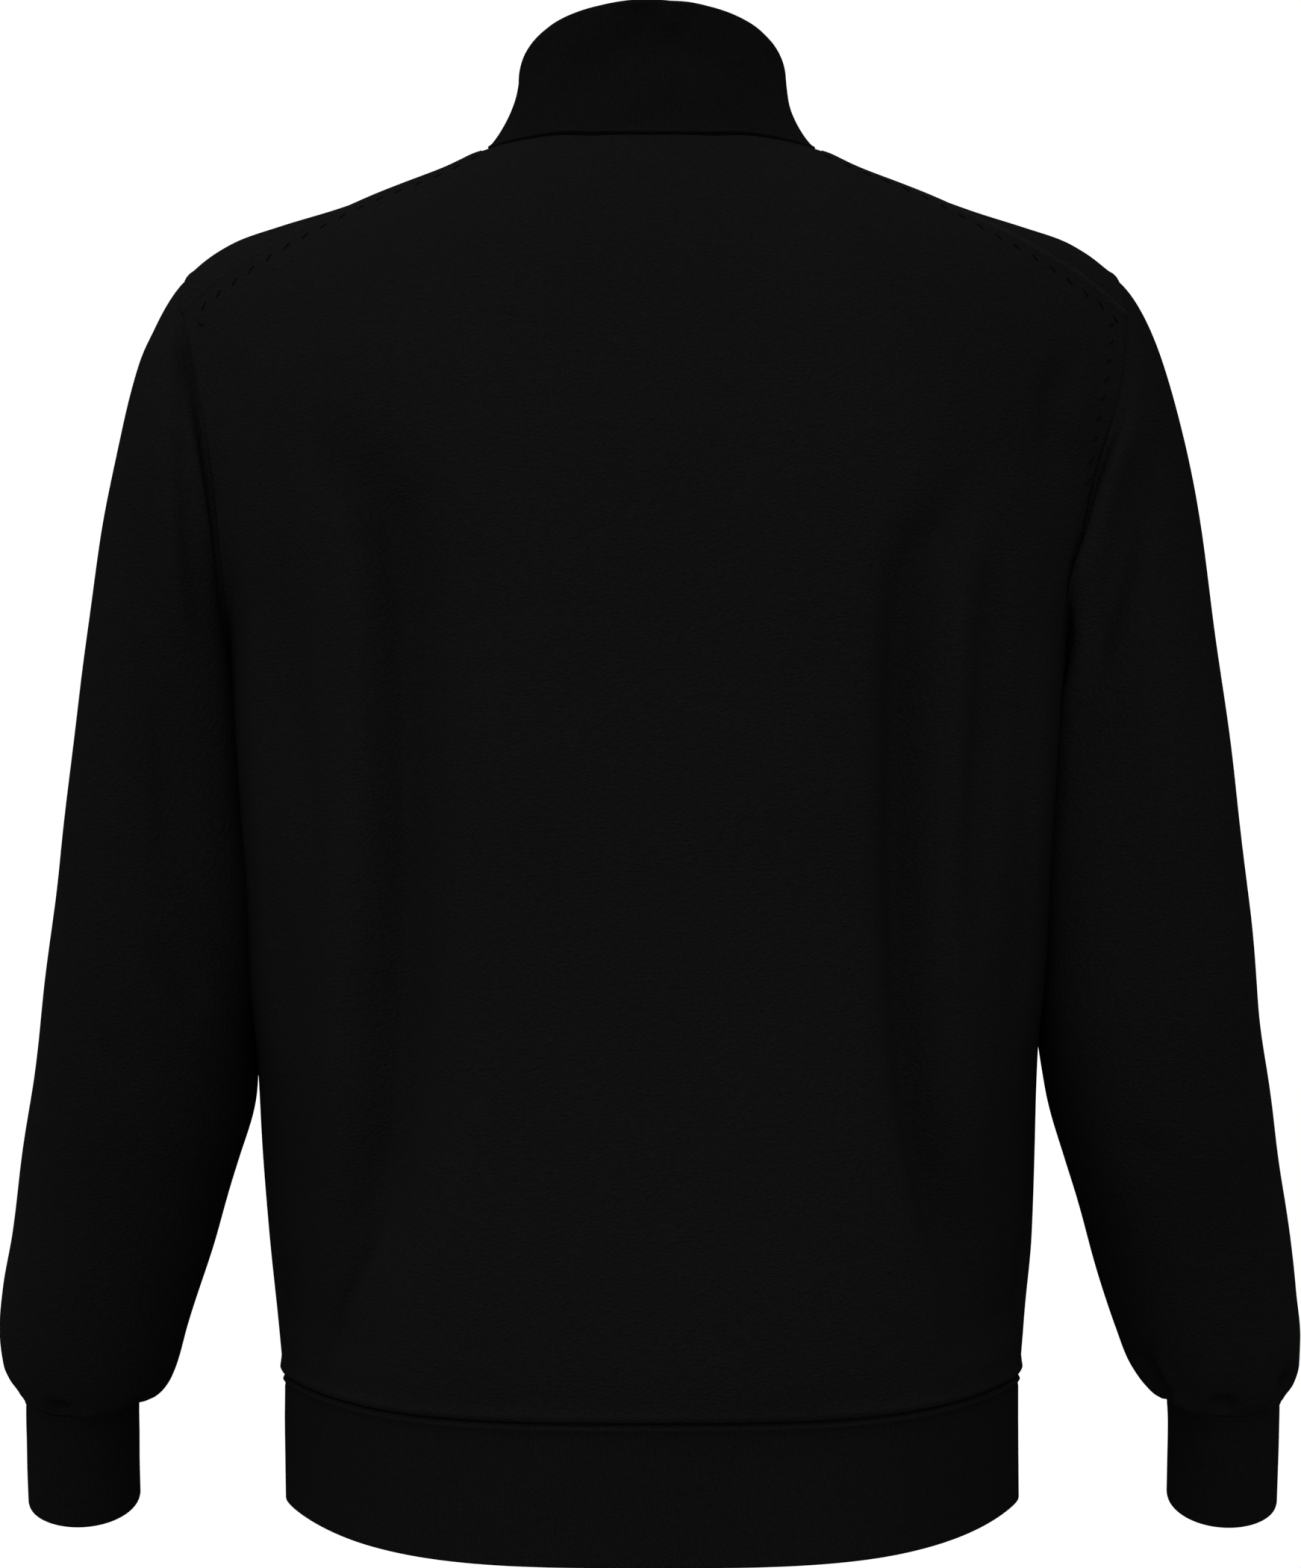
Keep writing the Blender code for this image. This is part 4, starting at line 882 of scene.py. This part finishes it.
def rib_material(name, pitch, colour=(0.0075, 0.0075, 0.0075)):
    mat, tree, shader = cloth_material(name, colour, 0.95, 0.0, 0.003, 0.5)
    uv = tree.nodes.new("ShaderNodeUVMap")
    uv.uv_map = "cloth"
    split = tree.nodes.new("ShaderNodeSeparateXYZ")
    tree.links.new(uv.outputs["UV"], split.inputs[0])
    turn = math_node(tree, "MULTIPLY", split.outputs["X"], math.pi / pitch)
    wave = math_node(tree, "ABSOLUTE", math_node(tree, "SINE", turn))
    rib = math_node(tree, "POWER", wave, 0.7)
    loops = math_node(tree, "ABSOLUTE", math_node(tree, "SINE", math_node(tree, "MULTIPLY", split.outputs["Y"], math.pi / (pitch * 0.72))))
    where = tree.nodes.new("ShaderNodeTexCoord").outputs["Object"]
    fine = noise(tree, stretched(tree, where, (1.0, 1.0, 0.8)), 1000.0, 2.0, 0.6)
    mottle = noise(tree, where, 11.0, 3.0, 0.55)
    # painted highlight and painted shade from the mesh, multiplied into the colour
    painted_light = tree.nodes.new("ShaderNodeAttribute")
    painted_light.attribute_name = "painted_light"
    # painted shade in the rib grooves, from the same waves as the rib's bump
    groove = remap(tree, rib, 0.15, 0.85, 0.83, 1.10)
    fuzz = remap(tree, fine, 0.30, 0.70, 0.80, 1.20)
    slow = remap(tree, mottle, 0.3, 0.7, 0.97, 1.03)
    factor = math_node(tree, "MULTIPLY", math_node(tree, "MULTIPLY", groove, fuzz),
                       math_node(tree, "MULTIPLY", slow, painted_light.outputs["Fac"]))
    tinted(tree, factor, colour, shader)
    shader.inputs["Roughness"].default_value = 0.94
    height = math_node(tree, "ADD", rib, math_node(tree, "ADD", math_node(tree, "MULTIPLY", loops, 0.12), math_node(tree, "MULTIPLY", fine, 0.2)))
    bump = tree.nodes.new("ShaderNodeBump")
    bump.inputs["Strength"].default_value = 0.8
    bump.inputs["Distance"].default_value = 0.00032
    tree.links.new(height, bump.inputs["Height"])
    tree.links.new(bump.outputs["Normal"], shader.inputs["Normal"])
    return mat


def thread_material():
    mat, tree, shader = cloth_material("tonal_thread", None, 0.9, 0.0, 0.0, 0.5)
    where = tree.nodes.new("ShaderNodeTexCoord").outputs["Object"]
    twist = noise(tree, where, 2600.0, 2.0, 0.5)
    tinted(tree, remap(tree, twist, 0.3, 0.7, 0.7, 1.3), (0.0040, 0.0040, 0.0040), shader)
    shader.inputs["Roughness"].default_value = 0.9
    return mat


def glow_material(name, colour, strength):
    mat = bpy.data.materials.new(name)
    mat.use_nodes = True
    tree = mat.node_tree
    tree.nodes.clear()
    out = tree.nodes.new("ShaderNodeOutputMaterial")
    glow = tree.nodes.new("ShaderNodeEmission")
    glow.inputs["Color"].default_value = colour
    glow.inputs["Strength"].default_value = strength
    tree.links.new(glow.outputs[0], out.inputs["Surface"])
    return mat


# ---------------------------------------------------------------- build
JERSEY = jersey_material()
RIB_PITCH = 0.0011
RIB = rib_material("rib_1x1", RIB_PITCH)
THREAD = thread_material()


def finish_piece(obj, cad, mat):
    obj.data.materials.append(mat)
    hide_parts(cad)
    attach(obj, "root")
    return obj


def seam_profile(h, ridge_at, ridge_high, ridge_wide, groove_at=None, groove_deep=0.0, groove_wide=1.0):
    """Small rise beside a seam, and a groove where its stitching pulls in."""
    out = ridge_high * np.exp(-((h - ridge_at) / ridge_wide) ** 2)
    if groove_at is not None:
        out = out - groove_deep * np.exp(-((h - groove_at) / groove_wide) ** 2)
    return out


def build_body():
    made = {}
    for face, name in ((1, "back"), (-1, "front")):
        p, q = panel(face)
        n = outward(p, False, np.array([0, 0, -300.0]))
        keep = np.minimum(step(0, 14, heights(p)), 1.0)[..., None]
        ends = step(0, 12, heights(p)) * step(0, 10, heights(p, -1))
        across = np.swapaxes(np.minimum(step(0, 10, heights(np.swapaxes(p, 0, 1))),
                                        step(0, 10, heights(np.swapaxes(p, 0, 1), -1))), 0, 1)
        push = fold_depth(BODY_FOLDS, p, n) * ends * across
        push += ripple(p, 11 if face > 0 else 12, 85.0, 0.55) * ends * across
        p = p - n * push[..., None]
        n = outward(p, False, np.array([0, 0, -300.0]))
        # the cloth swells a little just above the band, then turns in
        low = heights(p)
        rise = seam_profile(low, 4.0, 1.3, 2.6) - 0.5 * np.exp(-(low / 0.9) ** 2)
        top = heights(p, -1)
        shoulder = step(NECK_SHARE - 0.02, NECK_SHARE + 0.02, np.abs(q))[None, :]
        if face > 0:
            # the back laps a little over the front along the shoulder
            rise = rise + shoulder * seam_profile(top, 0.5, 1.1, 1.5, 3.6, 0.3, 1.2)
        else:
            rise = rise + shoulder * (seam_profile(top, 3.4, 0.4, 1.6) - 0.6 * np.exp(-(top / 1.3) ** 2))
        rise = rise + (1 - shoulder) * seam_profile(top, 1.6, 0.30, 1.6)
        hole = np.swapaxes(np.minimum(heights(np.swapaxes(p, 0, 1)), heights(np.swapaxes(p, 0, 1), -1)), 0, 1)
        upper = step(CHEST_Z - 10, CHEST_Z + 40, p[..., 2])
        rise = rise + upper * seam_profile(hole, 1.6, 0.8, 1.8)
        p = p + n * rise[..., None]
        # painted highlight along the raised shoulder seam edge, strongest on the back at the wearer's right
        seam_highlight = np.where(q < 0, 0.50, 0.24)[None, :] if face > 0 else 0.1
        painted_light = 1.0 + shoulder * seam_highlight * np.exp(-((top - 0.6) / 1.1) ** 2)
        # painted highlight along the swell just above the band
        painted_light = painted_light + 0.14 * np.exp(-((low - 3.0) / 1.9) ** 2)
        # painted shade: darker down the lower sides of the back and over the wearer's right shoulder, back and front
        if face > 0:
            painted_light = painted_light - 0.17 * step(0.42, 0.92, np.abs(q))[None, :] * step(-300, -420, p[..., 2])
            painted_light = painted_light - 0.13 * step(0.25, 0.80, -q)[None, :] * step(-230, -110, p[..., 2])
            # painted highlight down the back's side edges beside the armholes, stronger on the wearer's right
            painted_highlight = np.where(q < 0, 0.30, 0.12)[None, :] * step(-150, -190, p[..., 2]) * step(-350, -290, p[..., 2])
            painted_light = painted_light + painted_highlight * step(0.88, 1.0, np.abs(q))[None, :]
        else:
            painted_light = painted_light - 0.13 * step(60, 190, -p[..., 0]) * step(-140, -80, p[..., 2])
        p = trim(p, False, JERSEY_WALL / 2 + SEAM_GAP / 2, JERSEY_WALL / 2 + SEAM_GAP / 2, JERSEY_WALL / 2 + SEAM_GAP / 2)
        n = outward(p, False, np.array([0, 0, -300.0]))
        obj = panel_shell("sweater_" + name, p, n, JERSEY_WALL, painted_light * np.ones(p.shape[:2]))
        finish_piece(obj, name, JERSEY)
        made[name] = (obj, p, n, q)
    return made


def build_sleeve(side):
    name = "left" if side > 0 else "right"
    p, angle, zs = sleeve(side)
    centre = p.mean(axis=1, keepdims=True)
    n = outward(p, True, centre)
    first = heights(p)
    above = heights(p, -1)
    ends = step(0, 12, first) * step(1.0, 12, above)
    push = fold_depth(SLEEVE_FOLDS, p, n) * ends
    push += ripple(p, 21 if side > 0 else 22, 70.0, 0.5) * ends
    push += gather_depth(side, angle[None, :], above) * step(2.0, 9.0, above)
    back = (angle < 180)[None, :]
    sink = np.where(back, smooth(SEAM_SINK["z"], SEAM_SINK[name], p[..., 2]), smooth(SEAM_SINK["z"], SEAM_SINK["front"], p[..., 2]))
    push += sink * np.exp(-((first - 6.2) / 5.4) ** 2) * step(0, 3.0, first)
    p = p - n * push[..., None]
    p2 = keep_clear(side, p, SLEEVE_CLEAR)
    p2[:4] = p[:4]
    p = p2
    n = outward(p, True, centre)
    a = np.radians(angle)[None, :]
    topside = np.clip(-np.cos(a) * 0.5 + 0.5, 0, 1)
    rise = seam_profile(first, 2.4, -0.2, 1.6) * topside
    rise = rise + seam_profile(above, 3.2, 1.0, 2.2) - 0.35 * np.exp(-(above / 0.9) ** 2)
    p = p + n * rise[..., None]
    # painted shade over the back of each sleeve, much stronger on the wearer's left sleeve
    back_shade = 0.13 if side > 0 else 0.03
    painted_light = 1.0 - back_shade * np.clip(np.sin(a), 0, 1) ** 0.7 * step(10, 110, first)
    # painted shade on the outer and back-outer side of the wearer's right sleeve, stronger higher up
    if side < 0:
        painted_light = painted_light - (0.10 + 0.13 * step(-290, -170, p[..., 2])) * np.clip(0.45 * np.sin(a) - 0.9 * np.cos(a), 0, 1)
    # painted highlight on the inner back of each sleeve beside the body, a little below the armhole
    painted_highlight = 0.13 * step(-150, -190, p[..., 2]) if side < 0 else 0.10 * step(-230, -262, p[..., 2])
    painted_light = painted_light + painted_highlight * step(-350, -290, p[..., 2]) * np.exp(-((angle[None, :] - 34.0) / 26.0) ** 2)
    # painted highlight along the ridge just above the cuff seam
    painted_light = painted_light + 0.10 * np.exp(-((above - 3.0) / 2.0) ** 2)
    p = trim(p, True, JERSEY_WALL / 2 + SEAM_GAP / 2, JERSEY_WALL / 2 + SEAM_GAP / 2)
    n = outward(p, True, p.mean(axis=1, keepdims=True))
    obj = tube_shell("sweater_sleeve_" + name, p, n, JERSEY_WALL, painted_light, 380.0)
    return finish_piece(obj, "sleeve_" + name, JERSEY), p


def build_cuff(side):
    name = "left" if side > 0 else "right"
    count = 144
    p = cuff(side, count, 34)
    n = outward(p, True, p.mean(axis=1, keepdims=True))
    h = heights(p)
    rise = seam_profile(h, 1.9, 0.6, 0.9, 4.0, 0.25, 1.0)
    rise = rise - 0.35 * np.exp(-(h / 0.9) ** 2)
    a = np.arange(count) / count * 2 * math.pi
    uneven = 0.35 * np.sin(2 * a + 0.7 * side) + 0.25 * np.sin(3 * a - 1.1)
    p = p + n * (rise + uneven[None, :] * step(0, 20, h))[..., None]
    # painted highlight along the ridge beside the cuff seam
    painted_light = 1.0 + 0.30 * np.exp(-((h - 1.6) / 0.8) ** 2)
    p = trim(p, True, RIB_WALL / 2 + SEAM_GAP / 2, RIB_WALL / 2)
    n = outward(p, True, p.mean(axis=1, keepdims=True))
    girth = round(2 * math.pi * 27.6 / (RIB_PITCH / MM)) * RIB_PITCH / MM
    obj = tube_shell("sweater_cuff_" + name, p, n, RIB_WALL, painted_light * np.ones(p.shape[:2]), girth)
    return finish_piece(obj, "cuff_" + name, RIB)


def build_hem():
    half = 190
    q = np.linspace(-1, 1, 2 * half + 1)
    low = low_places(q)
    low[0], low[-1] = -1, 1
    t = spaced(40, near=(0.0,), width=0.05, strength=4.0)
    zs = HEM["z"][0] + (HEM["z"][-1] - HEM["z"][0]) * t
    p = np.array([np.concatenate([ring(HEM, 1, low, z), ring(HEM, -1, low, z)[-2:0:-1]]) for z in zs])
    # even spacing round the band, so the ribs are even too
    for r in range(len(p)):
        loop = np.concatenate([p[r], p[r][:1]])
        run = np.concatenate([[0], np.cumsum(np.linalg.norm(np.diff(loop, axis=0), axis=1))])
        at = np.arange(p.shape[1]) / p.shape[1] * run[-1]
        p[r] = np.stack([np.interp(at, run, loop[:, k]) for k in range(3)], 1)
        girth = run[-1]
    n = outward(p, True, p.mean(axis=1, keepdims=True))
    h = heights(p)
    rise = seam_profile(h, 2.3, 0.55, 0.8, 4.2, 0.35, 0.9) - 0.5 * np.exp(-(h / 0.9) ** 2)
    rise = rise + ripple(p, 31, 120.0, 0.35) * step(0, 25, h)
    p = p + n * rise[..., None]
    # painted highlight along the band's ridge just below the seam, and painted shade by the groove below it
    painted_light = 1.0 + 0.34 * np.exp(-((h - 2.2) / 0.8) ** 2) - 0.14 * np.exp(-((h - 5.0) / 1.3) ** 2)
    p = trim(p, True, RIB_WALL / 2 + SEAM_GAP / 2, RIB_WALL / 2)
    n = outward(p, True, p.mean(axis=1, keepdims=True))
    girth = round(girth / (RIB_PITCH / MM)) * RIB_PITCH / MM
    obj = tube_shell("sweater_hem_band", p, n, RIB_WALL, painted_light * np.ones(p.shape[:2]), girth)
    return finish_piece(obj, "hem_band", RIB)


COLLAR_FOLDS = [
    # soft inverted V on the back, and the turn to the front at each side
    dict(face=1, path=[(-12, 46), (-4, 41), (8, 34), (25, 23.5), (39, 14.5), (53, 3.5)],
         depth=5.0, left=15.0, right=15.0, fade_top=0.16, fade_low=0.45),
    dict(face=1, path=[(-4, 44), (-16, 36), (-27, 28.5), (-41, 21.5)],
         depth=2.8, left=12.0, right=13.0, fade_top=0.25, fade_low=0.55),
    dict(face=1, path=[(46, 50), (52, 42), (58, 30), (62, 20)],
         depth=-1.2, left=3.0, right=6.0, fade_top=0.25, fade_low=0.30),
    dict(face=1, path=[(-52, 48), (-57, 36), (-61, 26), (-63.5, 17)],
         depth=-1.2, left=6.0, right=3.0, fade_top=0.25, fade_low=0.30),
    dict(face=-1, path=[(40, 6), (18, -6), (-12, -8), (-38, 4)],
         depth=2.0, left=8.0, right=8.0, fade_top=0.40, fade_low=0.40),
]


def build_collar():
    count = 288
    p = collar(count, 52)
    n = outward(p, True, p.mean(axis=(0, 1)))
    h = heights(p)
    ends = step(2, 10, h) * step(0, 5, heights(p, -1))
    push = fold_depth(COLLAR_FOLDS, p, n) * ends
    push += ripple(p, 41, 60.0, 0.35) * ends
    p = p - n * push[..., None]
    # a narrow sunk strip along the neck seam
    p = p - n * (1.3 * (1 - step(2.2, 3.2, h)) - 0.35 * np.exp(-((h - 3.6) / 0.9) ** 2))[..., None]
    # painted shade over the sunk strip along the neck seam
    painted_light = 1.0 - 0.50 * (1 - step(2.4, 3.2, h))
    p = trim(p, True, COLLAR_WALL / 2 - 0.6, COLLAR_WALL / 2)
    n = outward(p, True, p.mean(axis=(0, 1)))
    girth = round(440.0 / (RIB_PITCH / MM)) * RIB_PITCH / MM
    u_rows, _ = even_back(p, girth)
    obj = tube_shell("sweater_collar", p, n, COLLAR_WALL, painted_light * np.ones(p.shape[:2]), girth, u_rows)
    return finish_piece(obj, "collar", RIB)


# ---------------------------------------------------------------- stitches
STITCH_EVERY = 10.0       # along the seam
STITCH_LONG = 4.8
STITCH_IN = 9.2           # from the seam, and a little more by the neck
STITCH_SLANT = 38.0       # degrees off the seam
STITCH_THICK = 0.28


def walk(line_points, distance):
    """Point at a distance along a polyline of points."""
    run = np.concatenate([[0], np.cumsum(np.linalg.norm(np.diff(line_points, axis=0), axis=1))])
    return np.array([np.interp(distance, run, line_points[:, k]) for k in range(3)])


def reached(line_points, distance):
    """Index of the point nearest to a distance along a polyline."""
    run = np.concatenate([[0], np.cumsum(np.linalg.norm(np.diff(line_points, axis=0), axis=1))])
    return int(np.clip(np.argmin(np.abs(run - distance)), 1, len(line_points) - 2))


def stitch_row(p, n, side, which):
    """Middle points, seam directions and normals for a row of stitches on the
    back panel: which is 'shoulder' or 'armhole'."""
    cols = p.shape[1]
    points, norms, inward = [], [], []
    if which == "shoulder":
        first = int(cols * (0.5 + NECK_SHARE / 2 * 0.80))
        picks = range(first, cols - 2, 1)
        for c in picks:
            c = c if side > 0 else cols - 1 - c
            line, norm = p[::-1, c], n[::-1, c]
            share = abs(2.0 * c / (cols - 1) - 1)
            into = STITCH_IN + 0.6 + 3.6 * (1 - step(NECK_SHARE, 0.8, share))
            k = reached(line, into)
            points.append(walk(line, into))
            inward.append(unit(line[k + 1] - line[k - 1]))
            norms.append(norm[k])
    else:
        rows = [r for r in range(p.shape[0] - 4, 0, -1) if (-103 if side > 0 else -178) < p[r, -1 if side > 0 else 0, 2] < -93]
        for r in rows:
            line, norm = (p[r, ::-1], n[r, ::-1]) if side > 0 else (p[r], n[r])
            into = STITCH_IN - 6.0 * step(-128, -178, p[r, 0, 2])
            k = reached(line, into)
            points.append(walk(line, into))
            inward.append(unit(line[k + 1] - line[k - 1]))
            norms.append(norm[k])
    points, norms, inward = np.array(points), np.array(norms), np.array(inward)
    run = np.concatenate([[0], np.cumsum(np.linalg.norm(np.diff(points, axis=0), axis=1))])
    at = np.arange(STITCH_EVERY * 0.4, run[-1], STITCH_EVERY)
    take = lambda a: np.stack([np.interp(at, run, a[:, k]) for k in range(3)], 1)
    mid, nn, inn = take(points), unit(take(norms)), unit(take(inward))
    ahead = np.stack([np.interp(at + 1.0, run, points[:, k]) - np.interp(at - 1.0, run, points[:, k]) for k in range(3)], 1)
    return mid, unit(ahead), nn, inn


def build_stitches(back):
    obj, p, n, q = back
    verts, faces = [], []
    for side in (1, -1):
        for which in ("shoulder", "armhole"):
            mid, ahead, nn, inn = stitch_row(p, n, side, which)
            for k in range(len(mid)):
                slant = math.radians(STITCH_SLANT)
                way = unit(ahead[k] * math.cos(slant) + inn[k] * math.sin(slant))
                way = unit(way - nn[k] * np.dot(way, nn[k]))
                across = np.cross(nn[k], way)
                base = len(verts)
                steps = np.linspace(-1, 1, 9)
                for t in steps:
                    lift = 0.42 * (1 - t ** 4) - 0.05 * abs(t) ** 8
                    width = STITCH_THICK * (1 - 0.35 * t ** 4)
                    at = mid[k] + way * t * STITCH_LONG / 2 + nn[k] * lift
                    for a in np.arange(6) / 6 * 2 * math.pi:
                        verts.append(at + across * math.cos(a) * width + nn[k] * math.sin(a) * width * 0.8)
                for r in range(len(steps) - 1):
                    for c in range(6):
                        faces.append((base + r * 6 + c, base + r * 6 + (c + 1) % 6,
                                      base + (r + 1) * 6 + (c + 1) % 6, base + (r + 1) * 6 + c))
                for r, flip in ((0, True), (len(steps) - 1, False)):
                    ringed = [base + r * 6 + c for c in range(6)]
                    for quad in ((0, 1, 2, 3), (0, 3, 4, 5)):
                        f = tuple(ringed[i] for i in quad)
                        faces.append(f[::-1] if flip else f)
    made = make_mesh("seam_stitches", np.array(verts), faces)
    made.data.materials.append(THREAD)
    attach(made, "root")
    return made


body = build_body()
sleeve_left, _ = build_sleeve(1)
sleeve_right, _ = build_sleeve(-1)
cuff_left, cuff_right = build_cuff(1), build_cuff(-1)
hem_band = build_hem()
collar_piece = build_collar()
stitches = build_stitches(body["back"])


# ---------------------------------------------------------------- studio
def camera_only(obj):
    obj.visible_diffuse = obj.visible_glossy = False
    obj.visible_transmission = obj.visible_volume_scatter = obj.visible_shadow = False


DOME = (0.22, 0.62, 0.95)
DOME_POWER = 0.400


def studio():
    scene = bpy.context.scene
    scene.view_settings.view_transform = "Standard"
    scene.view_settings.look = "None"
    world = bpy.data.worlds.new("soft_studio")
    scene.world = world
    world.use_nodes = True
    tree = world.node_tree
    back = tree.nodes["Background"]
    where = tree.nodes.new("ShaderNodeTexCoord").outputs["Generated"]
    # one big soft dome, strongest above and behind the viewer
    dot = tree.nodes.new("ShaderNodeVectorMath")
    dot.operation = "DOT_PRODUCT"
    tree.links.new(where, dot.inputs[0])
    dot.inputs[1].default_value = DOME
    sky = math_node(tree, "MAXIMUM", math_node(tree, "ADD", dot.outputs["Value"], 1.0), 0.06)
    tree.links.new(math_node(tree, "MULTIPLY", sky, DOME_POWER), back.inputs["Strength"])
    back.inputs["Color"].default_value = (1.0, 1.0, 1.0, 1.0)

    white = glow_material("white_backdrop", (1.0, 1.0, 1.0, 1.0), 1.02)
    bpy.ops.mesh.primitive_uv_sphere_add(segments=48, ring_count=24, radius=14.0, location=(0, 0, 0))
    dome = bpy.context.object
    dome.name = "backdrop"
    dome.data.materials.append(white)
    bpy.ops.mesh.primitive_circle_add(vertices=96, radius=6.0, fill_type="NGON", location=(0, 0, -1.45))
    floor = bpy.context.object
    floor.name = "floor"
    floor.data.materials.append(white)
    for obj in (dome, floor):
        camera_only(obj)

    cam = bpy.data.cameras.new("camera")
    cam.lens = 36.0 * 3973.0 / 2100.0
    cam.sensor_width = 36.0
    cam.clip_start, cam.clip_end = 0.05, 60.0
    shot = bpy.data.objects.new("camera", cam)
    scene.collection.objects.link(shot)
    shot.location = (0.00055, 1.45, -0.310)
    shot.rotation_euler = (math.radians(90.0), 0.0, math.radians(180.0))
    scene.camera = shot


studio()
